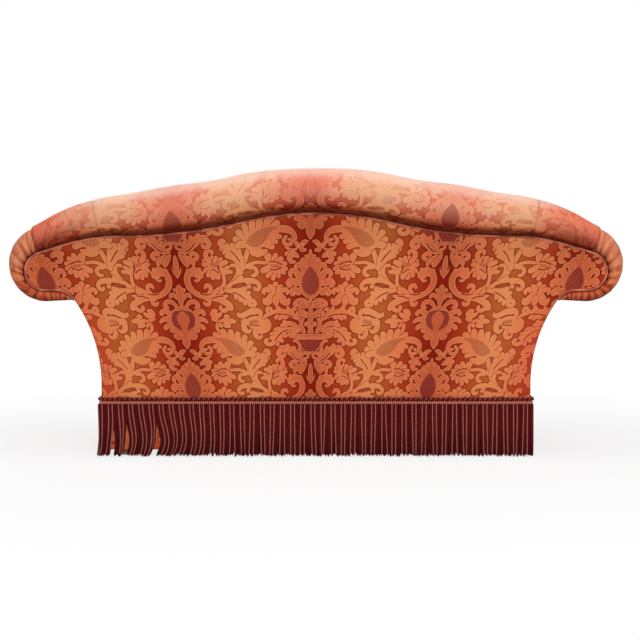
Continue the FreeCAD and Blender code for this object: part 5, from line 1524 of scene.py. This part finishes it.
def make_bullions(name, start, end, outward, seed, bowed, partings):
    """Cords hanging from the heading along one side of the base: the row that shows and one behind, darkened
    by painted shade.
    """
    draw = np.random.default_rng(seed)
    start, end, outward = (np.array(v, float) for v in (start, end, outward))
    length = np.linalg.norm(end - start)
    way = (end - start) / length
    repeats = int(length / CORDS_REPEAT)
    shown = [(i * length / repeats + offset, coral) for i in range(repeats) for offset, coral in CORDS]
    behind = [(spot, 0) for spot in np.arange(UNDER_GAP / 2, length, UNDER_GAP)]
    place, coral = np.array(shown + behind).T[..., None]
    each = place.shape
    front = np.arange(len(place))[:, None] < len(shown)
    kinds = zip(CORAL_CORD, DARK_CORD, UNDER_CORD)
    size, proud = [np.where(front, np.where(coral > 0, light, dark), under) for light, dark, under in kinds]
    sway = draw.normal(0, 0.0012, each) * front
    for span in (0.23, 0.11, 0.067):
        sway += draw.normal(0, 0.0016) * np.sin(2 * np.pi * place / span + draw.uniform(0, 6))
    parted = np.zeros(each)
    for where, width in partings:
        apart = place - (start[0] - where)
        parted += np.sign(apart) * width * np.exp(-np.abs(apart) / PARTING_REACH)
    bow = bowed * np.exp(-((place - BOW_PLACE) / BOW_REACH) ** 2)
    hang = BULLION_LENGTH + np.minimum(draw.normal(0, 0.0016, each), 0.002) - 0.002 * (1 - front)
    turned = draw.uniform(0, 0.02, each)
    tone = draw.uniform(0, 0.8, each) * front * (1 - coral)
    t = np.linspace(0, 1, 26)
    angle = np.linspace(0, 2 * np.pi, 9)
    run = place + sway * t ** 1.7 + parted * eased(t, 0.2, 0.8)
    run += bow * (6.75 * t ** 2 * (1 - t) - 0.25 * t ** 6)
    out = FRINGE_GAP + proud + 0.0006 * np.sin(3 * t + place * 90) * t
    centre = start + run[..., None] * way + out[..., None] * outward
    centre[..., 2] = FRINGE_TOP - hang * t
    tip = np.sqrt(np.clip(1 - (np.clip(t - 0.97, 0, None) / 0.031) ** 2, 0.003, 1))
    spoke = np.cos(angle)[:, None] * way + np.sin(angle)[:, None] * outward
    points = centre[:, :, None] + (size * tip)[..., None, None] * spoke
    flat = together(angle * YARN_SIZE + turned[..., None], (hang * t)[..., None])
    # Painted shade: the hidden row behind is darker, and each cord darkens towards its lower end.
    shade = 0.55 * (1 - front) + 0.42 * eased(t, 0.35, 1.0) * (1 - 0.6 * coral)
    yarn = together(coral[..., None], tone[..., None], shade[..., None] + 0 * angle)
    return yarn_piece(name, points, flat, yarn)


def make_fringe():
    right = HALF_BASE + FRINGE_GAP + 0.008
    runs = {
        "back_bullions": ((right, BACK, 0), (-right, BACK, 0), (0, 1, 0), 3, 0.012, PARTINGS),
        "front_bullions": ((-right, FRONT, 0), (right, FRONT, 0), (0, -1, 0), 4, 0.004, ()),
        "right_bullions": ((HALF_BASE, FRONT, 0), (HALF_BASE, BACK, 0), (1, 0, 0), 8, 0.005, ()),
        "left_bullions": ((-HALF_BASE, BACK, 0), (-HALF_BASE, FRONT, 0), (-1, 0, 0), 6, -0.004, ()),
    }
    for name, facts in runs.items():
        nodes = ["bullion_fringe"] if name == "back_bullions" else []
        dress(make_bullions(name, *facts), "trim", *nodes)


def base_line(out, step):
    """Line round the base, seen from above: its points, its length to each and the way outwards."""
    line = stepped(rounded_frame(HALF_BASE, FRONT, BACK, out), step)
    side = -left_of(line)
    side[-1] = side[0]
    return line, along(line), side


def make_gimp():
    line, run, side = base_line(out=0.0033, step=0.0011)
    angle = np.linspace(0, 2 * np.pi, 11)
    rib = 1 + 0.16 * np.sin(2 * np.pi * run / GIMP_RIB)
    wide = GIMP_SIZE[0] * squarer(np.cos(angle), 0.7) * rib[:, None]
    high = GIMP_SIZE[1] * squarer(np.sin(angle), 0.7)
    points = together(line[:, :1] + side[:, :1] * wide, line[:, 1:] + side[:, 1:] * wide, GIMP_HEIGHT + high)
    cloth = together(run[:, None], angle * 0.003)
    dress(grid_piece("fringe_gimp_band", points, cloth, GIMP_FINISH, flip=True), "trim", "fringe_gimp")


def make_rope():
    line, run, side = base_line(out=0.0053, step=0.0016)
    turns = round(run[-1] / ROPE_TURN)
    angle = np.linspace(0, 2 * np.pi, 8)
    flat = together(angle * YARN_SIZE, run[:, None])
    strands, yarns = [], []
    for coral, phase, out, size in ROPE:
        turn = 2 * np.pi * turns * run / run[-1] + phase
        spot = line + side * (out * np.cos(turn))[:, None]
        centre = np.column_stack([spot, ROPE_HEIGHT + out * np.sin(turn)])
        strands.append(tube(centre, np.column_stack([side, 0 * run]), (0, 0, 1), size, 7))
        yarns.append(np.broadcast_to([coral, 1.5 * (1 - coral), 0.0], (len(line), len(angle), 3)))
    piece = yarn_piece("fringe_rope", np.array(strands), np.array([flat] * len(ROPE)), np.array(yarns))
    dress(piece, "trim", "fringe_cord")


make_outside_back()
make_back_roll()
make_inside_back()
both_sides(make_arm)
both_sides(make_outside_arm)
both_sides(make_facing)
make_back_piping()
both_sides(make_facing_piping)
make_front_border()
make_edge_roll()
make_deck()
make_cushion()
make_cushion_piping()
make_fringe()
make_gimp()
make_rope()


# Finishes of the pieces that keep their CAD shape

BEECH = (paint(150, 104, 64), paint(196, 150, 100), 0.5)
STAIN = (paint(126, 60, 30), paint(178, 98, 54), 0.3)
JUTE = (paint(96, 76, 48), paint(156, 128, 84), paint(120, 56, 40))
BEECH_ALONG = {
    0: timber_finish("beech along x", (0.12, 1, 1), *BEECH),
    1: timber_finish("beech along y", (1, 0.12, 1), *BEECH),
    2: timber_finish("beech along z", (1, 1, 0.12), *BEECH),
}
BY_SLOT = {
    "turned_wood": timber_finish("stained foot", (1, 1, 0.2), *STAIN),
    "steel": steel_finish(),
    "webbing": plain_weave_finish("jute webbing", 0.004, *JUTE),
    "canvas": plain_weave_finish("hessian", 0.0028, paint(120, 96, 60), paint(186, 158, 112)),
}
CAMBRIC = plain_weave_finish("black cambric", 0.0016, paint(18, 17, 17), paint(44, 42, 41))


def finish_for(name, part):
    if name == "dust_cover":
        return CAMBRIC
    slot = part.data.materials[0].name
    if slot == "timber":
        low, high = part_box(name)
        return BEECH_ALONG[max(range(3), key=lambda axis: high[axis] - low[axis])]
    return BY_SLOT.get(slot)


for name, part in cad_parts.items():
    better = finish_for(name, part)
    if better:
        for index in range(len(part.material_slots)):
            part.material_slots[index].material = better


# Floor, light and camera


def make_floor():
    reach = 14
    f = Finish("pale floor", Roughness=0.9)
    speck = f.noise(f.place(), 30.0)
    f.show(Base_Color=f.mix(speck, (0.86, 0.86, 0.86, 1), (0.90, 0.90, 0.90, 1)))
    glow = f.node("Emission", {"Color": (1, 1, 1, 1), "Strength": 1.0}).outputs[0]
    far = f.node("VectorMath", {0: f.place()}, operation="LENGTH").outputs["Value"]
    white = f.times(f.seen(), f.blend(far, 0.9, 2.2, 0.8, 1.0))
    f.give("Material Output", white, f.surface.outputs[0], glow)
    corners = [(-reach, -reach, 0), (reach, -reach, 0), (reach, reach, 0), (-reach, reach, 0)]
    mesh_piece("floor", corners, [(0, 1, 2, 3)], f.material)


def make_world(strength):
    world = bpy.data.worlds.new("studio")
    bpy.context.scene.world = world
    world.use_nodes = True
    n = Nodes(world.node_tree)
    soft = n.tree.nodes["Background"]
    n.feed(soft.inputs["Color"], (1.0, 0.985, 0.965, 1))
    n.feed(soft.inputs["Strength"], strength)
    white = n.node("Background", {"Color": (1, 1, 1, 1)})
    n.give("World Output", n.seen(), soft.outputs[0], white.outputs[0])


def look_at(thing, place, aim):
    thing.location = place
    thing.rotation_euler = (Vector(aim) - Vector(place)).to_track_quat("-Z", "Y").to_euler()


def make_lamp(name, place, aim, size, power):
    lamp = bpy.data.lights.new(name, "AREA")
    lamp.shape = "RECTANGLE"
    lamp.size, lamp.size_y = size
    lamp.energy = power
    look_at(placed(name, lamp), place, aim)


def make_camera():
    lens = bpy.data.cameras.new("camera")
    lens.sensor_width = 36
    lens.lens = 102.9
    camera = placed("camera", lens)
    look_at(camera, (-0.011, BACK + 5.0, 0.60), (-0.011, BACK, 0.376))
    bpy.context.scene.camera = camera


make_floor()
make_world(0.34)
make_lamp("overhead", (0.0, 1.0, 3.0), (0, 0.2, 0.5), (3.0, 2.0), 46)
make_lamp("behind camera", (-1.2, 5.0, 2.2), (0, 0.3, 0.4), (2.4, 2.0), 84)
make_lamp("front", (0.8, -4.5, 2.4), (0, 0, 0.4), (2.4, 2.0), 75)
make_camera()
bpy.context.scene.view_settings.view_transform = "Standard"
